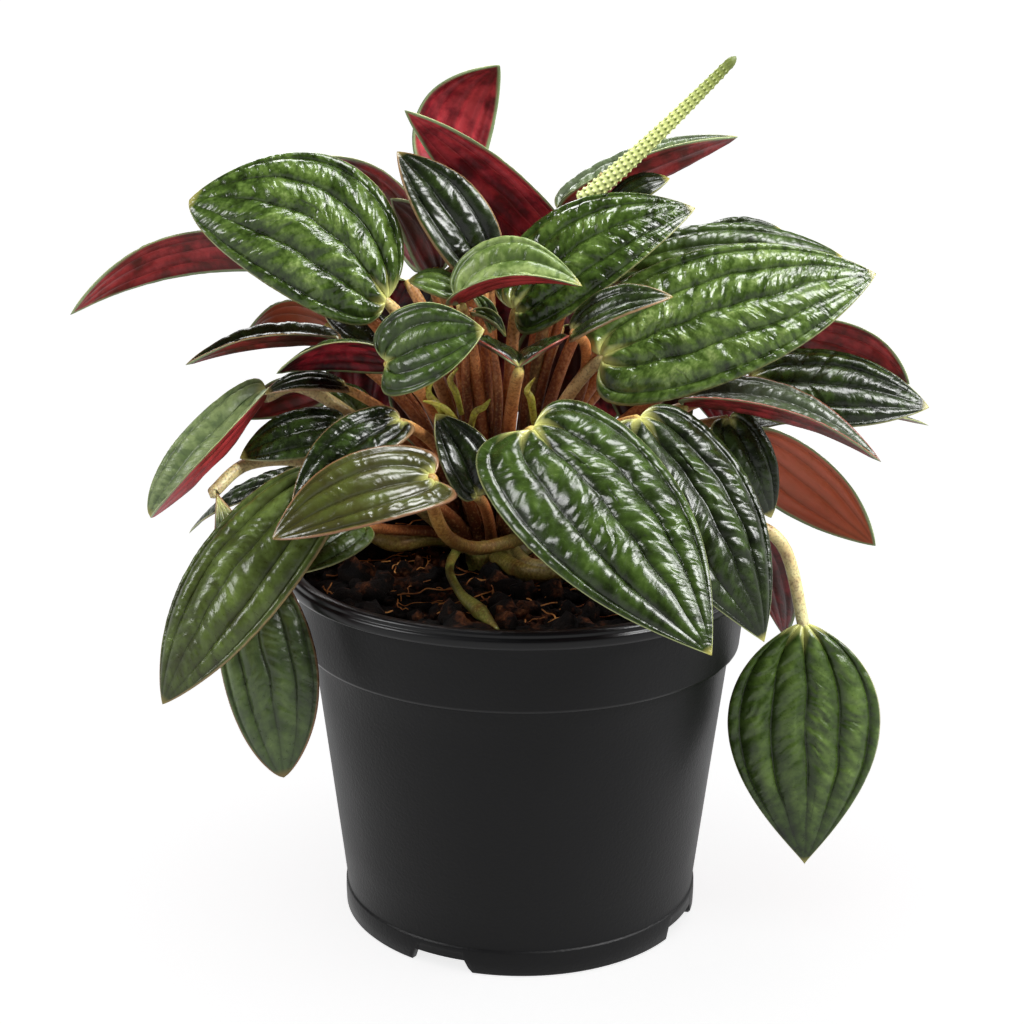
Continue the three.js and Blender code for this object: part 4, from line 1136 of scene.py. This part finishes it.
def fibre_skin():
    """Dry root fibre: straw to rust brown, matte."""
    material, tree = new_material("dry_root_fibre")
    place = add_node(tree, "TexCoord").outputs["Object"]
    shade = add_node(tree, "TexNoise", {"Vector": place, "Scale": FIBRE_SHADES, "Detail": 2.0})
    brown = add_node(tree, "ValToRGB", [shade], [(0.35, "#7a4219"), (0.65, "#d9944e")])
    husk = add_node(tree, "BsdfPrincipled", {"Base Color": brown, "Roughness": 0.7, "IOR": 1.4})
    add_node(tree, "OutputMaterial", {"Surface": husk})
    return material


parts = []
for i in range(FIBRE_COUNT):
    x, y = scattered(FIBRE_MARGIN)
    heading = rng.uniform(0, 2 * math.pi)
    length = rng.uniform(*FIBRE_LENGTHS)
    line = []
    lift = rng.uniform(*FIBRE_LIFTS)
    for step in range(FIBRE_STEPS + 1):
        z = float(soil_height(x, y)) + lift + rng.uniform(0, FIBRE_WAVES)
        line.append((x, y, z))
        heading += rng.normal(0, FIBRE_BEND)
        x += math.cos(heading) * length / FIBRE_STEPS
        y += math.sin(heading) * length / FIBRE_STEPS
    line = np.array([p for p in line if math.hypot(p[0], p[1]) < SOIL_RADIUS - 2])
    if len(line) > 3:  # a fibre that leaves the bed at once is left out
        radius = rng.uniform(*FIBRE_RADII)
        parts.append(tube(smooth_line(line, 3), radius, FIBRE_SIDES)[:2])
points, faces = joined(parts)
make_piece("soil_fibres", points, faces, [fibre_skin()])
print("crumbs:", CRUMB_COUNT, "fibres:", len(parts))

# %% [markdown]
# ## The pot
#
# A nursery pot is injection moulded in black polypropylene: a tapered wall, a wider collar with a
# rolled lip, and a raised foot ring with drain notches. A turned profile gives all of it, with
# every edge rounded as a mould leaves it. The skin is satin with a very fine grain.

# %% Pot profile
POT_SPOKES = 288
# radius, height: outside from the foot up over the lip, then down inside
POT_PROFILE = [
    (0, 4.6), (20, 4.6), (43.0, 4.6), (43.5, 4.2), (43.6, 0.5), (43.9, 0.0), (45.4, 0.0),
    (45.9, 0.5), (46.0, 3.4), (45.95, 6.2), (45.8, 6.55), (45.55, 6.7), (45.5, 7.0), (46.6, 16.5),
    (49.3, 39.5), (52.0, 62.0), (53.2, 72.3), (53.35, 72.75), (53.8, 72.9), (55.1, 72.9),
    (55.5, 73.1), (55.6, 73.6), (56.3, 81.0), (56.95, 88.6), (57.1, 89.4), (57.6, 89.7),
    (59.2, 89.75), (59.8, 90.1), (60.0, 90.7), (60.0, 91.9), (59.75, 92.35), (59.4, 92.5),
    (59.3, 92.8), (59.4, 93.2), (59.2, 93.7), (58.6, 94.0), (57.0, 94.0), (56.5, 93.7),
    (56.3, 93.2), (55.6, 88.0), (54.0, 75.2), (53.8, 74.7), (53.3, 74.6), (51.9, 74.6),
    (51.6, 74.2), (48.0, 42.0), (44.0, 7.2), (43.6, 6.5), (20, 6.4), (0, 6.4),
]
FOOT_RING = (43, 47)  # radii that the foot ring lies between
FOOT_RING_MIDDLE = 45.0
FOOT_EDGE = 1  # height under which a point is on the foot ring's lower edge
NOTCH_ANGLES = (-116, -26, 64, 154)  # degrees from +X
NOTCH_HALF_WIDTH = 8.0
NOTCH_HEIGHT = 4.0
NOTCH_SLOPE = 1.4  # mm over which a notch's side rises
# radii and heights that bound the two polished stretches
LIP_UNDERSIDE = 89.4
LIP_INSIDE = 56.0
COLLAR_EDGE_HEIGHTS = (72.8, 73.3)
COLLAR_EDGE_INSIDE = 55.0


def notch_lift(angle):
    """How far the foot ring's lower edge is cut up at this angle, with slanted sides."""
    lift = 0.0
    for middle in NOTCH_ANGLES:
        away = abs((angle - middle + 180) % 360 - 180)
        inside = NOTCH_HALF_WIDTH - math.radians(away) * FOOT_RING_MIDDLE
        lift = max(lift, min(1.0, max(0.0, inside / NOTCH_SLOPE)) * NOTCH_HEIGHT)
    return lift


# repeats per metre
ORANGE_PEEL = 1200.0  # 0.8 mm
UNEVEN_GLOSS = 32.0  # 30 mm


def pot_skin():
    """Moulded polypropylene: near black, satin, with the mould's orange peel in the grey bands."""
    material, tree = new_material("moulded_black_polypropylene")
    place = add_node(tree, "TexCoord").outputs["Object"]
    peel = add_node(tree, "TexNoise", {
        "Vector": place, "Scale": ORANGE_PEEL, "Detail": 3.0, "Roughness": 0.6})
    broad = add_node(tree, "TexNoise", {"Vector": place, "Scale": UNEVEN_GLOSS, "Detail": 3.0})
    gloss = add_node(tree, "MapRange", [broad, 0.3, 0.7, 0.40, 0.50])
    shade = add_node(tree, "ValToRGB", [broad], [(0.3, "#070708"), (0.7, "#0b0b0c")])
    bump = add_node(tree, "Bump", {"Height": peel, "Strength": 0.7, "Distance": 0.14 * MM})
    plastic = add_node(tree, "BsdfPrincipled", {
        "Base Color": shade, "Roughness": gloss, "Normal": bump, "IOR": 1.49,
        "Specular IOR Level": 0.18})
    add_node(tree, "OutputMaterial", {"Surface": plastic})
    return material


def polished_skin():
    """The lip and the collar's edge, which the mould's polished parting ring leaves glossier."""
    material, tree = new_material("polished_black_polypropylene")
    plastic = add_node(tree, "BsdfPrincipled", {
        "Base Color": "#0a0a0b", "Roughness": 0.3, "IOR": 1.49, "Specular IOR Level": 0.25})
    add_node(tree, "OutputMaterial", {"Surface": plastic})
    return material


# %% Pot
def is_polished(radius, height):
    """1 where the skin from this point of the profile to the next one is polished, or else 0."""
    on_lip = radius > LIP_INSIDE and height >= LIP_UNDERSIDE
    bottom, top = COLLAR_EDGE_HEIGHTS
    return int(on_lip or radius > COLLAR_EDGE_INSIDE and bottom < height < top)


profile = np.array(POT_PROFILE, float)
points = [(0, 0, profile[0][1])]
for radius, height in profile[1:-1]:
    on_edge = height < FOOT_EDGE and FOOT_RING[0] < radius < FOOT_RING[1]
    for angle in np.linspace(0, 360, POT_SPOKES, endpoint=False):
        lift = notch_lift(angle) if on_edge else 0
        turn = math.radians(angle)
        points.append((radius * math.cos(turn), radius * math.sin(turn), height + lift))
points.append((0, 0, profile[-1][1]))
# the same finishes run down every spoke: base, each step of the profile, base
finishes = [0, *(is_polished(*spot) for spot in profile[1:-2]), 0] * POT_SPOKES
make_piece("nursery_pot", points, ring_faces(len(profile) - 2, POT_SPOKES),
           [pot_skin(), polished_skin()], ["pot"], face_material=finishes)
print("pot height in mm:", profile[:, 1].max())
